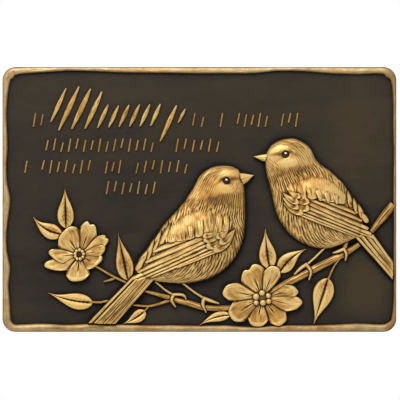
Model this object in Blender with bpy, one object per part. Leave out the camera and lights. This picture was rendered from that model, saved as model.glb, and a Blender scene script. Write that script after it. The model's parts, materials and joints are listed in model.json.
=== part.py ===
"""Cast wall plaque: two songbirds on a flowering branch, inside a hand-worked rim.

The plaque hangs upright. X runs to the right, Z up, and the front faces -Y. The origin is the
middle of the flat back. The plaque is one casting, so everything here is joined into one solid.
"""

import math

import bmesh
import bpy
import numpy as np
from mathutils import Vector
from mathutils.bvhtree import BVHTree

MM = 0.001

# Plate and rim
PLAQUE_WIDTH = 305.0 * MM
PLAQUE_HEIGHT = 205.0 * MM
GROUND_THICKNESS = 8.0 * MM
CORNER_RADIUS = 10.0 * MM
RIM_RISE = 2.8 * MM
BACK_CHAMFER = 1.2 * MM
RIM_STEP = 12.5 * MM
CORNER_STEPS = 5

# Width of the rim, in millimetres, at even steps along each side: the edge is worked by hand.
RIM_TOP = (5.2, 3.9, 2.8, 3.1, 4.0, 4.3, 4.4, 4.8, 4.7, 4.6, 2.9, 3.2, 4.7, 5.4, 4.3)
RIM_RIGHT = (3.4, 2.5, 2.5, 1.9, 2.2, 2.3, 2.0, 2.1, 2.4, 2.0, 3.2)
RIM_BOTTOM = (5.2, 6.3, 5.4, 5.0, 4.9, 3.7, 4.9, 4.7, 5.1, 5.0, 5.9, 6.3, 5.4, 6.2, 5.4)
RIM_LEFT = (6.0, 5.5, 4.7, 5.7, 3.4, 3.1, 4.6, 5.8, 3.6, 3.0, 3.9, 3.5, 3.2, 4.0, 5.4)

# How much wider the rim is across its corners: top left, top right, bottom right, bottom left
CORNER_SWELLS = (2.4 * MM, 3.0 * MM, 1.6 * MM, 0.6 * MM)
CORNER_SPREAD = 8.0 * MM

# Rim profile: (share of the rim's width inwards, share of its rise) from the outside in
RIM_PROFILE = ((0.0, 0.1), (0.22, 0.85), (0.55, 1.0), (1.0, 0.0))

# Keyholes in the back, for the heads of two wall screws
KEYHOLE_SPACING = 200.0 * MM
KEYHOLE_RISE = 62.0 * MM
SCREW_HEAD_HOLE = 9.5 * MM
SCREW_NECK_SLOT = 4.8 * MM
KEYHOLE_CHANNEL = 10.5 * MM
KEYHOLE_LIP = 1.8 * MM
KEYHOLE_DEPTH = 5.8 * MM
KEYHOLE_TRAVEL = 9.0 * MM

# The relief is laid out on a grid of squares, as (column, row) counted from the top left.
# The plate's own sides lie on these columns and rows.
COLUMNS = (2.3, 396.6)
ROWS = (67.2, 331.8)

# How far each form stands above the ground
LEAF_RISE = 2.6 * MM
PETAL_RISE = 3.4 * MM
PETAL_LAYER = 0.35 * MM
HEART_RISE = 4.9 * MM
STAMEN_RISE = 6.0 * MM
BRANCH_RISE = 3.2 * MM
LEG_RISE = 2.8 * MM
TOE_RISE = 5.0 * MM
TAIL_RISE = 5.2 * MM
WING_RISE = 7.2 * MM
LETTER_RISE = 0.9 * MM
SCRIPT_RISE = 1.5 * MM
FEATHER_THICKNESS = 0.8 * MM
MANTLE_THICKNESS = 1.0 * MM
MANTLE_SCALLOP = 1.7 * MM
ROOT_DEPTH = 1.5 * MM
FORM_LIFT = 0.013 * MM

# Leaves: tip, base, width in millimetres, sideways bend as a share of the length
LEAVES = (
    ((64.8, 187.7), (65.9, 228.0), 12.8, 0.0),
    ((33.0, 217.0), (61.8, 234.2), 11.8, 0.11),
    ((117.9, 233.5), (127.8, 280.0), 13.2, 0.0),
    ((48.0, 292.8), (92.5, 302.6), 12.2, 0.05),
    ((123.0, 323.6), (144.9, 310.6), 9.2, 0.06),
    ((199.5, 325.2), (230.0, 315.2), 7.6, -0.08),
    ((265.4, 229.0), (269.8, 268.5), 13.2, 0.02),
    ((306.2, 249.2), (280.0, 272.4), 12.6, 0.09),
    ((314.0, 323.8), (328.0, 278.4), 15.8, 0.0),
)

# Blossoms: centre, then petals as outer end, width in millimetres, notch as a share of the length
LEFT_BLOSSOM = (
    (79.7, 255.0),
    (
        ((107.4, 237.4), 9.6, 0.05),
        ((104.9, 249.4), 8.6, 0.0),
        ((46.4, 267.8), 12.5, 0.0),
        ((49.6, 257.2), 14.2, 0.0),
        ((63.6, 230.4), 20.0, 0.04),
        ((92.0, 222.6), 15.4, 0.1),
        ((99.4, 265.4), 15.6, 0.03),
        ((78.4, 282.4), 16.4, 0.04),
    ),
)
RIGHT_BLOSSOM = (
    (262.3, 297.8),
    (
        ((224.0, 289.4), 14.4, 0.0),
        ((230.4, 316.4), 16.4, 0.0),
        ((249.0, 266.6), 19.8, 0.06),
        ((256.8, 326.2), 15.2, 0.04),
        ((275.2, 266.4), 13.0, 0.0),
        ((283.2, 323.4), 14.2, 0.04),
        ((297.8, 289.4), 12.0, 0.0),
        ((301.0, 306.4), 14.4, 0.04),
    ),
)
# Hearts: heart diameter, radius of the ring of stamens and bead diameter, in millimetres
LEFT_HEART = (7.0, 3.3, 2.3)
RIGHT_HEART = (10.0, 4.6, 4.2)
LEFT_STAMENS = 8
RIGHT_STAMENS = 6
# The petals of a blossom start this far from its centre
BLOSSOM_HEART = 1.3 * MM

# Stems: points with their width in millimetres
MAIN_BRANCH = (
    ((393.6, 204.6), 5.0), ((385.4, 214.5), 5.0), ((377.0, 225.0), 3.9), ((368.0, 236.0), 3.2),
    ((356.0, 246.6), 4.2), ((341.0, 255.5), 5.6), ((326.0, 263.2), 5.8), ((310.0, 271.4), 5.8),
    ((285.0, 284.4), 5.4), ((262.0, 298.0), 4.6), ((240.0, 306.6), 4.3), ((222.0, 308.2), 4.2),
    ((204.0, 307.4), 4.6), ((188.0, 303.0), 4.6), ((172.0, 298.6), 4.2), ((156.0, 294.0), 2.8),
    ((141.0, 289.4), 2.2), ((125.0, 282.2), 2.0), ((112.0, 275.8), 2.0), ((90.0, 263.0), 1.8),
)
LOWER_TWIG = (
    ((171.0, 299.6), 2.8), ((158.0, 304.2), 2.0), ((147.0, 306.2), 1.8), ((131.0, 304.4), 1.8),
    ((110.0, 301.2), 2.0), ((100.0, 302.4), 2.0), ((89.0, 301.8), 1.8),
)
LEAF_STEM = (((149.5, 305.6), 1.5), ((143.5, 312.0), 1.3))
BUD_STUB = (((116.0, 277.6), 2.2), ((110.0, 280.0), 2.0), ((103.6, 281.6), 1.0))
HANGING_STEM = (((341.0, 257.0), 1.5), ((334.0, 267.0), 1.4), ((328.0, 280.0), 1.7))

# Bird bodies: back edge, front edge and rise in millimetres, station by station from the
# forehead to the root of the tail
LEFT_BODY = (
    ((237.6, 169.4), (240.2, 173.6), 4.5), ((229.0, 165.9), (242.4, 181.0), 7.4),
    ((214.5, 166.6), (244.2, 187.5), 9.4), ((201.0, 174.4), (244.8, 195.5), 10.2),
    ((192.2, 189.8), (245.0, 205.0), 10.4), ((180.4, 206.8), (245.0, 221.0), 11.4),
    ((166.0, 222.4), (242.8, 240.0), 12.2), ((153.4, 239.2), (232.6, 260.6), 12.2),
    ((145.4, 251.0), (212.0, 276.8), 11.0), ((140.4, 262.0), (187.0, 283.0), 9.2),
    ((139.0, 270.5), (163.0, 282.0), 7.4), ((143.5, 276.6), (151.0, 279.4), 5.6),
)
RIGHT_BODY = (
    ((267.6, 151.6), (266.4, 156.2), 4.5), ((272.6, 144.6), (265.6, 162.2), 7.4),
    ((284.0, 139.2), (266.0, 168.8), 9.4), ((298.2, 139.6), (267.2, 176.4), 10.2),
    ((309.8, 147.6), (269.6, 184.4), 10.4), ((317.6, 161.4), (272.0, 193.8), 11.0),
    ((332.8, 173.4), (275.0, 207.6), 12.0), ((346.0, 187.0), (280.8, 222.2), 12.2),
    ((353.4, 202.0), (292.4, 236.2), 11.4), ((360.6, 214.0), (308.6, 245.4), 10.0),
    ((364.6, 224.0), (327.0, 248.4), 8.4), ((363.0, 232.0), (343.6, 243.2), 6.8),
    ((358.5, 236.6), (353.0, 238.6), 5.6),
)

# Beaks: top of the base, foot of the base, tip
LEFT_BEAK = ((239.4, 173.6), (241.8, 184.6), (254.2, 175.2))
RIGHT_BEAK = ((269.8, 154.2), (268.8, 161.4), (252.8, 156.6))
BEAK_RISE = 6.0 * MM

# Eyes: centre, diameter in millimetres
LEFT_EYE = ((226.4, 180.6), 4.6)
RIGHT_EYE = ((285.2, 154.4), 5.0)

# Feathers: root, tip, width in millimetres. Each list runs from the lowest layer up.
LEFT_FLIGHT = (
    ((213.0, 252.6), (176.0, 267.4), 2.6), ((212.0, 250.4), (152.0, 276.6), 2.8),
    ((208.0, 248.0), (137.0, 280.2), 3.2), ((205.0, 244.6), (132.2, 278.6), 3.9),
    ((204.0, 240.6), (137.4, 271.6), 5.2), ((202.0, 236.8), (144.6, 261.8), 5.2),
    ((190.0, 236.0), (152.8, 251.2), 5.0),
)
LEFT_TERTIALS = (
    ((144.6, 256.0), (136.6, 270.4), 4.4), ((147.6, 250.0), (139.6, 264.4), 4.6),
    ((154.2, 239.0), (146.0, 259.6), 4.6), ((161.2, 230.0), (153.0, 250.4), 4.6),
    ((168.4, 220.0), (159.8, 243.8), 4.8),
)
LEFT_MANTLE = (
    ((160.0, 227.0), (165.2, 242.6)), ((170.0, 216.0), (174.8, 241.6)),
    ((181.0, 207.0), (184.8, 240.2)), ((193.0, 202.0), (194.2, 238.0)),
    ((204.0, 202.0), (203.0, 235.6)), ((214.0, 205.0), (211.8, 235.2)),
    ((224.0, 210.0), (220.4, 233.2)), ((234.0, 216.0), (228.8, 232.6)),
    ((240.0, 226.0), (235.6, 231.0)),
)
LEFT_COVERTS = (
    ((232.4, 236.2), (214.8, 251.4), 5.6), ((222.0, 240.0), (205.0, 247.6), 5.2),
    ((231.4, 231.6), (217.0, 243.4), 5.2), ((219.0, 236.4), (204.6, 241.6), 4.8),
)
RIGHT_FLIGHT = (
    ((300.0, 214.6), (352.0, 235.2), 2.4), ((303.0, 213.2), (362.4, 237.0), 2.6),
    ((306.4, 210.8), (373.6, 237.9), 3.0), ((307.0, 206.6), (371.0, 234.2), 3.9),
    ((308.0, 202.6), (368.0, 228.8), 4.4), ((311.0, 199.2), (361.8, 220.6), 4.0),
    ((321.0, 198.6), (356.0, 213.2), 3.8),
)
RIGHT_TERTIALS = (
    ((361.0, 212.0), (367.4, 222.6), 4.2), ((358.2, 204.4), (362.6, 218.2), 4.2),
    ((353.2, 198.0), (357.2, 213.6), 4.0), ((347.6, 191.0), (351.2, 207.2), 4.0),
)
RIGHT_MANTLE = (
    ((345.6, 189.0), (344.6, 204.6)), ((337.0, 179.0), (335.4, 202.8)),
    ((326.0, 171.0), (325.4, 201.2)), ((314.0, 169.0), (315.8, 199.6)),
    ((303.0, 173.0), (306.2, 199.2)), ((294.0, 178.0), (297.0, 198.2)),
    ((285.0, 184.0), (287.6, 195.8)), ((278.0, 190.0), (281.0, 193.6)),
)
RIGHT_COVERTS = (
    ((284.4, 203.6), (301.6, 214.6), 4.8), ((283.6, 198.6), (298.0, 208.6), 4.6),
    ((294.6, 203.6), (308.8, 210.8), 4.8), ((285.2, 194.2), (297.8, 202.6), 4.4),
    ((297.0, 199.4), (308.8, 205.2), 4.8),
)
LEFT_TAIL = (
    ((133.0, 278.0), (90.2, 322.6), 3.0), ((137.0, 279.0), (95.6, 322.8), 2.8),
    ((153.0, 276.4), (111.0, 323.4), 6.0), ((145.6, 276.0), (102.6, 323.4), 7.4),
)
RIGHT_TAIL = (
    ((371.6, 235.0), (392.8, 264.4), 3.6), ((354.6, 234.6), (392.4, 277.0), 3.4),
    ((366.4, 235.0), (393.0, 268.6), 4.2), ((360.2, 234.6), (392.8, 273.4), 4.6),
)
# The rim cuts the tails off: along the foot of the plaque, and along its right side
LEFT_TAIL_CUT = (1.0, 0.0)
RIGHT_TAIL_CUT = (0.0, 1.0)

# Legs and toes: points with their width in millimetres
LEGS = (
    (((155.6, 281.6), 1.8), ((165.0, 289.8), 1.6), ((174.0, 295.4), 1.8)),
    (((182.0, 282.4), 1.8), ((193.0, 291.2), 1.6), ((204.4, 298.6), 1.8)),
    (((326.0, 246.6), 1.8), ((315.6, 257.0), 1.6), ((306.4, 265.2), 1.8)),
    (((347.4, 240.0), 2.8), ((345.4, 246.0), 3.2), ((344.6, 251.4), 4.4)),
)
TOES = (
    (((172.6, 294.6), 2.2), ((179.0, 294.4), 2.2), ((184.0, 295.6), 1.9), ((186.2, 299.2), 1.0)),
    (((173.6, 294.6), 2.6), ((171.8, 300.4), 2.6), ((175.6, 307.0), 1.1)),
    (((203.0, 297.8), 2.6), ((211.0, 300.8), 2.5), ((219.0, 303.4), 1.1)),
    (((204.2, 297.6), 2.8), ((203.0, 304.6), 2.7), ((206.2, 312.4), 1.1)),
    (((307.2, 263.8), 2.5), ((300.6, 268.4), 2.5), ((294.4, 274.4), 1.1)),
    (((305.8, 263.8), 2.5), ((310.8, 271.4), 2.6), ((309.2, 280.0), 1.1)),
    (((344.6, 248.6), 3.0), ((338.8, 251.2), 2.5), ((332.8, 253.0), 1.1)),
    (((343.2, 248.4), 3.2), ((346.2, 253.6), 2.6), ((345.6, 260.6), 1.1)),
)

# Inscription: rows as (top, foot) with words as (left, right). Each word is a group of slanting
# strokes, cut shorter in turn by the shares in STROKE_CUTS, and none of them is a letter.
INSCRIPTION = (
    ((113.0, 126.8), ((29.5, 46.5), (188.5, 208.0), (215.5, 227.5), (234.0, 271.0), (278.0, 301.5))),
    ((138.6, 151.8), ((42.0, 157.0), (172.0, 223.0))),
    ((160.2, 173.4), ((19.5, 32.0), (38.0, 94.0), (102.0, 124.0), (132.0, 191.0))),
    ((181.2, 194.2), ((102.5, 159.0),)),
)
STROKE_PITCH = 7.6
STROKE_LEAN = 2.2
STROKE_WIDTH = 1.1 * MM
STROKE_CUTS = (0.0, 0.22, 0.1, 0.3)
# Large brush strokes in the first row: top, foot, width in millimetres
BRUSH_STROKES = (
    ((66.0, 88.4), (50.6, 122.0), 3.0), ((79.0, 86.6), (58.6, 130.4), 3.8),
    ((90.6, 88.8), (71.6, 129.0), 3.8), ((102.0, 91.6), (85.0, 128.6), 3.6),
    ((108.2, 104.6), (97.6, 128.0), 3.0), ((118.6, 105.6), (108.6, 127.4), 3.0),
    ((129.0, 105.0), (119.0, 127.0), 3.0), ((139.6, 104.6), (129.4, 126.6), 3.0),
    ((150.0, 104.4), (140.0, 126.2), 3.0), ((160.4, 104.0), (150.6, 125.8), 3.0),
    ((176.6, 105.6), (160.2, 141.2), 3.4), ((185.6, 108.6), (178.0, 123.0), 2.2),
)


def spot(place):
    """A place on the layout grid as x and z in metres."""
    column, row = place
    across = (column - COLUMNS[0]) / (COLUMNS[1] - COLUMNS[0]) - 0.5
    down = (row - ROWS[0]) / (ROWS[1] - ROWS[0]) - 0.5
    return Vector((across * PLAQUE_WIDTH, -down * PLAQUE_HEIGHT))


def smooth_line(points, shares):
    """Points of a smooth curve through rows of numbers, at shares of its run of points."""
    points = np.array(points, float)
    padded = np.vstack([2 * points[0] - points[1], points, 2 * points[-1] - points[-2]])
    places = np.clip(np.asarray(shares, float), 0, 1) * (len(points) - 1)
    piece = np.minimum(places.astype(int), len(points) - 2)
    t = (places - piece)[:, None]
    a, b, c, d = (padded[piece + k] for k in range(4))
    return 0.5 * (2 * b + (c - a) * t + (2 * a - 5 * b + 4 * c - d) * t**2
                  + (3 * b - a - 3 * c + d) * t**3)


def flat_normal(direction):
    """The unit vector to the left of a direction in the plaque's plane."""
    return Vector((-direction.y, direction.x)).normalized()


def raise_form(name, place, rise, along, across, floor):
    """A closed form that stands on the plate.

    place(u, v) gives x and z, and rise(u, v) the height over the ground, for u from 0 to 1 along
    the form and v from -1 to 1 across it. The form's foot lies ROOT_DEPTH under the ground.
    """
    bm = bmesh.new()
    bmesh.ops.create_grid(bm, x_segments=along, y_segments=across, size=1.0)
    for vert in bm.verts:
        u = (vert.co.x + 1) / 2
        v = math.sin(vert.co.y * math.pi / 2)
        flat = place(u, v)
        vert.co = (flat.x, -GROUND_THICKNESS - rise(u, v), flat.y)
    bmesh.ops.remove_doubles(bm, verts=bm.verts, dist=0.02 * MM)
    rim = [edge for edge in bm.edges if edge.is_boundary]
    skirt = bmesh.ops.extrude_edge_only(bm, edges=rim)["geom"]
    for item in skirt:
        if isinstance(item, bmesh.types.BMVert):
            item.co.y = floor
    bmesh.ops.holes_fill(bm, edges=[edge for edge in bm.edges if edge.is_boundary], sides=0)
    bmesh.ops.recalc_face_normals(bm, faces=bm.faces)
    mesh = bpy.data.meshes.new(name)
    bm.to_mesh(mesh)
    tree = BVHTree.FromBMesh(bm)
    bm.free()
    form = bpy.data.objects.new(name, mesh)
    return form, tree


class Relief:
    """The forms that are joined to the plate.

    Each has a foot and a lift of its own, so that no two forms share a surface.
    """

    def __init__(self):
        self.collection = bpy.data.collections.new("relief_forms")
        bpy.context.scene.collection.children.link(self.collection)

    def add(self, name, place, rise, along, across):
        count = len(self.collection.objects)
        depth = ROOT_DEPTH * (1 + 0.5 * (count % 97) / 97)
        lift = FORM_LIFT * (count % 16)

        def lifted(u, v):
            return rise(u, v) + lift

        form, tree = raise_form(name, place, lifted, along, across, depth - GROUND_THICKNESS)
        form.hide_render = True
        form.display_type = "WIRE"
        self.collection.objects.link(form)
        return tree


def half_round(v):
    return math.sqrt(max(0.0, 1 - v * v))


def blade_place(root, tip, width, bend, outline, end_shape=None):
    """place(u, v) of a blade from root to tip: outline(u) is its share of the full width, and
    end_shape(v) moves its end along, in metres."""
    run = tip - root
    side = flat_normal(run)
    ahead = run.normalized()
    middle = (root + tip) / 2 + side * bend * 2 * run.length

    def place(u, v):
        centre = root * (1 - u) ** 2 + middle * 2 * u * (1 - u) + tip * u**2
        slope = (middle - root) * (1 - u) + (tip - middle) * u
        shift = ahead * end_shape(v) * u**3 if end_shape else Vector((0, 0))
        return centre + flat_normal(slope) * v * width / 2 * outline(u) + shift

    return place


def stem_place(points):
    """place(u, v) of a stem along points that carry their widths."""
    rows = [(*spot(place), width * MM) for place, width in points]

    def place(u, v):
        x, z, width = smooth_line(rows, [u])[0]
        before, after = smooth_line(rows, [u - 0.01, u + 0.01])
        return Vector((x, z)) + flat_normal(Vector((after - before)[:2])) * v * width / 2

    return place


def body_place(stations):
    """place(u, v) between a bird's back edge at v = -1 and its front edge at v = 1."""
    rows = [(*spot(back), *spot(front)) for back, front, _ in stations]

    def place(u, v):
        back_x, back_z, front_x, front_z = smooth_line(rows, [u])[0]
        share = (v + 1) / 2
        return Vector((back_x + (front_x - back_x) * share, back_z + (front_z - back_z) * share))

    return place


def body_rise(stations):
    rises = [(rise * MM,) for _, _, rise in stations]

    def rise(u, v):
        return smooth_line(rises, [u])[0][0] * (0.12 + 0.88 * half_round(v))

    return rise


def height_over(tree, place):
    """How high a body stands over the ground at a place, or 0 beside it."""
    hit = tree.ray_cast(Vector((place.x, -1.0, place.y)), Vector((0, 1, 0)))[0]
    return -hit.y - GROUND_THICKNESS if hit else 0.0


def feather_outline(u):
    return 0.72 + 0.28 * math.sin(math.pi * min(1.0, u * 1.15) ** 0.8)


def add_feather(relief, name, feather, body, floor_rise, tilt, steps):
    """A feather laid over a body: its edge at v = tilt stands proud of the next one."""
    root, tip, width = spot(feather[0]), spot(feather[1]), feather[2] * MM

    def round_end(v):
        return -0.5 * width * (1 - half_round(v * 0.96))

    place = blade_place(root, tip, width, 0.0, feather_outline, round_end)

    def rise(u, v):
        under = max(height_over(body, place(u, v)), floor_rise * (1 - 0.25 * u))
        return under + FEATHER_THICKNESS * (0.75 + 0.5 * v * tilt + 0.35 * half_round(v))

    relief.add(name, place, rise, steps, 2)


def add_mantle(relief, name, stations, body):
    """The soft plumage over a wing's root: it swells out of the back to a scalloped edge."""
    rows = [(*spot(upper), *spot(lower)) for upper, lower in stations]
    scallops = len(stations) - 1

    def place(u, v):
        upper_x, upper_z, lower_x, lower_z = smooth_line(rows, [u])[0]
        run = Vector((lower_x - upper_x, lower_z - upper_z))
        share = (v + 1) / 2
        notch = MANTLE_SCALLOP * (1 - abs(math.sin(math.pi * scallops * u))) * share**2
        return Vector((upper_x, upper_z)) + run * share - run.normalized() * notch

    def rise(u, v):
        under = max(height_over(body, place(u, v)), WING_RISE * 0.8)
        return under + MANTLE_THICKNESS * (0.35 + 0.95 * v)

    relief.add(name, place, rise, 2 * scallops, 3)


def add_tail(relief, side, feathers, cut):
    """A tail of long feathers that the rim cuts off along the direction of cut."""
    def cross(first, second):
        return first.x * second[1] - first.y * second[0]

    for number, (root, tip, width) in enumerate(feathers, 1):
        root, tip, width = spot(root), spot(tip), width * MM
        ahead = (tip - root).normalized()
        slant = -cross(flat_normal(ahead), cut) / cross(ahead, cut)

        def cut_end(v, slant=slant, width=width):
            return slant * v * width / 2

        def rise(u, v):
            return TAIL_RISE * (1 - 0.22 * u) + FEATHER_THICKNESS * 0.6 * half_round(v)

        place = blade_place(root, tip, width, 0.0, tail_outline, cut_end)
        relief.add(f"{side}_tail_{number}", place, rise, 3, 2)


def tail_outline(u):
    return 0.78 + 0.22 * u


def add_bird(relief, side, stations, beak, eye, flight, tertials, mantle, coverts, tilt):
    place, rise = body_place(stations), body_rise(stations)
    body = relief.add(f"{side}_body", place, rise, 16, 8)
    add_mantle(relief, f"{side}_mantle", mantle, body)

    groups = (("flight", flight, 4), ("tertial", tertials, 3), ("covert", coverts, 3))
    for group, feathers, steps in groups:
        for number, feather in enumerate(feathers, 1):
            add_feather(relief, f"{side}_{group}_{number}", feather, body, WING_RISE, tilt, steps)

    top, foot, tip = (spot(point) for point in beak)

    def beak_place(u, v):
        start = top + (foot - top) * (v + 1) / 2
        return start + (tip - start) * u

    def beak_rise(u, v):
        return BEAK_RISE * (1 - 0.45 * u) * (0.35 + 0.65 * half_round(v) * (1 - u))

    relief.add(f"{side}_beak", beak_place, beak_rise, 3, 4)
    add_bead(relief, f"{side}_eye", spot(eye[0]), eye[1] * MM,
             height_over(body, spot(eye[0])) + 0.9 * MM, 8)


def add_bead(relief, name, centre, diameter, rise, sides):
    """A round bead whose crown stands at rise over the ground."""
    def place(u, v):
        turn = 2 * math.pi * u
        return centre + Vector((math.cos(turn), math.sin(turn))) * diameter / 2 * (1 - v) / 2

    def bead_rise(_, v):
        return rise - diameter * 0.35 * (1 - half_round((1 - v) / 2))

    bm_form = ring_form(name, place, bead_rise, sides)
    relief.collection.objects.link(bm_form)


def ring_form(name, place, rise, sides):
    """A domed form on a round foot: rings at v = -1 and 0 round a crown point at v = 1."""
    bm = bmesh.new()
    bmesh.ops.create_circle(bm, segments=sides, radius=1.0)
    rings = ((-1.0, None), (0.0, None))
    turns = [math.atan2(vert.co.y, vert.co.x) / (2 * math.pi) for vert in bm.verts]
    for vert, turn in zip(bm.verts, turns):
        flat = place(turn, rings[0][0])
        vert.co = (flat.x, ROOT_DEPTH * 1.6 - GROUND_THICKNESS, flat.y)
    edges = list(bm.edges)
    for level in (-1.0, 0.0):
        made = bmesh.ops.extrude_edge_only(bm, edges=edges)["geom"]
        edges = [item for item in made if isinstance(item, bmesh.types.BMEdge)]
        verts = [item for item in made if isinstance(item, bmesh.types.BMVert)]
        centre = place(0.0, 1.0)
        for vert in verts:
            turn = math.atan2(vert.co.z - centre.y, vert.co.x - centre.x) / (2 * math.pi)
            flat = place(turn, level)
            vert.co = (flat.x, -GROUND_THICKNESS - rise(turn, level), flat.y)
    bmesh.ops.holes_fill(bm, edges=[edge for edge in bm.edges if edge.is_boundary], sides=0)
    bmesh.ops.recalc_face_normals(bm, faces=bm.faces)
    mesh = bpy.data.meshes.new(name)
    bm.to_mesh(mesh)
    bm.free()
    form = bpy.data.objects.new(name, mesh)
    form.hide_render = True
    form.display_type = "WIRE"
    return form


def add_leaves(relief):
    def outline(u):
        return 0.08 + 0.92 * max(0.0, math.sin(math.pi * u**0.64)) ** 1.1

    def rise(u, v):
        lobe = 1 - (2 * abs(v) - 1) ** 2
        return LEAF_RISE * (0.62 + 0.38 * lobe) * (0.8 + 0.2 * math.sin(math.pi * u))

    for number, (tip, base, width, bend) in enumerate(LEAVES, 1):
        place = blade_place(spot(base), spot(tip), width * MM, bend, outline)
        relief.add(f"leaf_{number}", place, rise, 5, 4)


def add_blossom(relief, side, blossom, heart, count):
    centre, petals = spot(blossom[0]), blossom[1]
    for number, (end, width, notch) in enumerate(petals, 1):
        tip = spot(end)
        run = tip - centre
        layer = PETAL_LAYER * (number % 3)

        def outline(u):
            return 0.18 + 0.82 * math.sin(math.pi / 2 * min(1.0, u / 0.75))

        def end_shape(v, run=run, notch=notch):
            return -run.length * (0.22 * v**4 + notch * math.exp(-((v / 0.3) ** 2)))

        def rise(u, v, layer=layer):
            groove = 0.3 * (1 - u) * math.exp(-((v / 0.35) ** 2))
            return layer + PETAL_RISE * (0.68 + 0.32 * half_round(v * 0.9) - groove)

        root = centre + run.normalized() * BLOSSOM_HEART
        place = blade_place(root, tip, width * MM, 0.0, outline, end_shape)
        relief.add(f"{side}_petal_{number}", place, rise, 4, 4)

    across, ring, bead = heart
    add_bead(relief, f"{side}_heart", centre, across * MM, HEART_RISE, 10)
    for number in range(count):
        turn = 2 * math.pi * (number + 0.25) / count
        middle = centre + Vector((math.cos(turn), math.sin(turn))) * ring * MM
        add_bead(relief, f"{side}_stamen_{number + 1}", middle, bead * MM, STAMEN_RISE, 7)


def add_stem(relief, name, points, crest, steps, across):
    def rise(_, v):
        return crest * (0.3 + 0.7 * half_round(v))

    relief.add(name, stem_place(points), rise, steps, across)


def add_branches(relief):
    add_stem(relief, "main_branch", MAIN_BRANCH, BRANCH_RISE, 26, 2)
    add_stem(relief, "lower_twig", LOWER_TWIG, BRANCH_RISE * 0.8, 9, 2)
    add_stem(relief, "leaf_stem", LEAF_STEM, BRANCH_RISE * 0.7, 2, 2)
    add_stem(relief, "bud_stub", BUD_STUB, BRANCH_RISE * 0.75, 3, 2)
    add_stem(relief, "hanging_stem", HANGING_STEM, BRANCH_RISE * 0.7, 4, 2)
    for number, leg in enumerate(LEGS, 1):
        add_stem(relief, f"leg_{number}", leg, LEG_RISE, 3, 2)
    for number, toe in enumerate(TOES, 1):
        add_stem(relief, f"toe_{number}", toe, TOE_RISE, 4, 2)


def add_inscription(relief):
    def bar_rise(_, __):
        return LETTER_RISE

    def full(_):
        return 1.0

    def lens(u):
        return 0.3 + 0.7 * math.sin(math.pi * u)

    made = 0
    for (top, foot), words in INSCRIPTION:
        for left, right in words:
            count = max(1, round((right - left - STROKE_LEAN) / STROKE_PITCH))
            pitch = (right - left - STROKE_LEAN) / count
            for number in range(count):
                column = left + (number + 0.5) * pitch
                cut = STROKE_CUTS[made % len(STROKE_CUTS)] * (foot - top)
                start = spot((column, foot - cut * (made % 3) / 2))
                end = spot((column + STROKE_LEAN, top + cut * (2 - made % 3) / 2))
                made += 1
                stroke_place = blade_place(start, end, STROKE_WIDTH, 0.0, full)
                relief.add(f"stroke_{made}", stroke_place, bar_rise, 1, 1)
    for number, (top, foot, width) in enumerate(BRUSH_STROKES, 1):
        def rise(_, v):
            return SCRIPT_RISE

        place = blade_place(spot(foot), spot(top), width * MM, 0.0, lens)
        relief.add(f"brush_stroke_{number}", place, rise, 4, 1)


def corner_swell(corner, away):
    """Extra width of the rim this far along it from the middle of a corner."""
    return CORNER_SWELLS[corner % 4] * math.exp(-((away / CORNER_SPREAD) ** 2))


def perimeter():
    """Stations round the plate from the top left, clockwise: point, inward normal, rim width."""
    half_x, half_z, radius = PLAQUE_WIDTH / 2, PLAQUE_HEIGHT / 2, CORNER_RADIUS
    half_turn = radius * math.pi / 4
    corners = (
        (Vector((radius - half_x, half_z)), Vector((half_x - radius, half_z)), RIM_TOP),
        (Vector((half_x, half_z - radius)), Vector((half_x, radius - half_z)), RIM_RIGHT),
        (Vector((half_x - radius, -half_z)), Vector((radius - half_x, -half_z)), RIM_BOTTOM),
        (Vector((-half_x, radius - half_z)), Vector((-half_x, half_z - radius)), RIM_LEFT),
    )
    stations = []
    for side, (start, end, widths) in enumerate(corners):
        length = (end - start).length
        ahead = (end - start).normalized()
        inward = Vector((ahead.y, -ahead.x))
        steps = round(length / RIM_STEP)
        for step in range(steps + 1):
            share = step / steps
            width = smooth_line([(w,) for w in widths], [share])[0][0] * MM
            width += corner_swell(side, share * length + half_turn)
            width += corner_swell(side + 1, (1 - share) * length + half_turn)
            stations.append((start + (end - start) * share, inward, width))
        following = corners[(side + 1) % 4][2][0]
        centre = end + inward * radius
        for step in range(1, CORNER_STEPS):
            share = step / CORNER_STEPS
            turn = share * math.pi / 2
            out = -inward * math.cos(turn) + ahead * math.sin(turn)
            width = (widths[-1] + (following - widths[-1]) * share) * MM
            width += corner_swell(side + 1, (2 * share - 1) * half_turn)
            stations.append((centre + out * radius, -out, width))
    return stations


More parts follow.
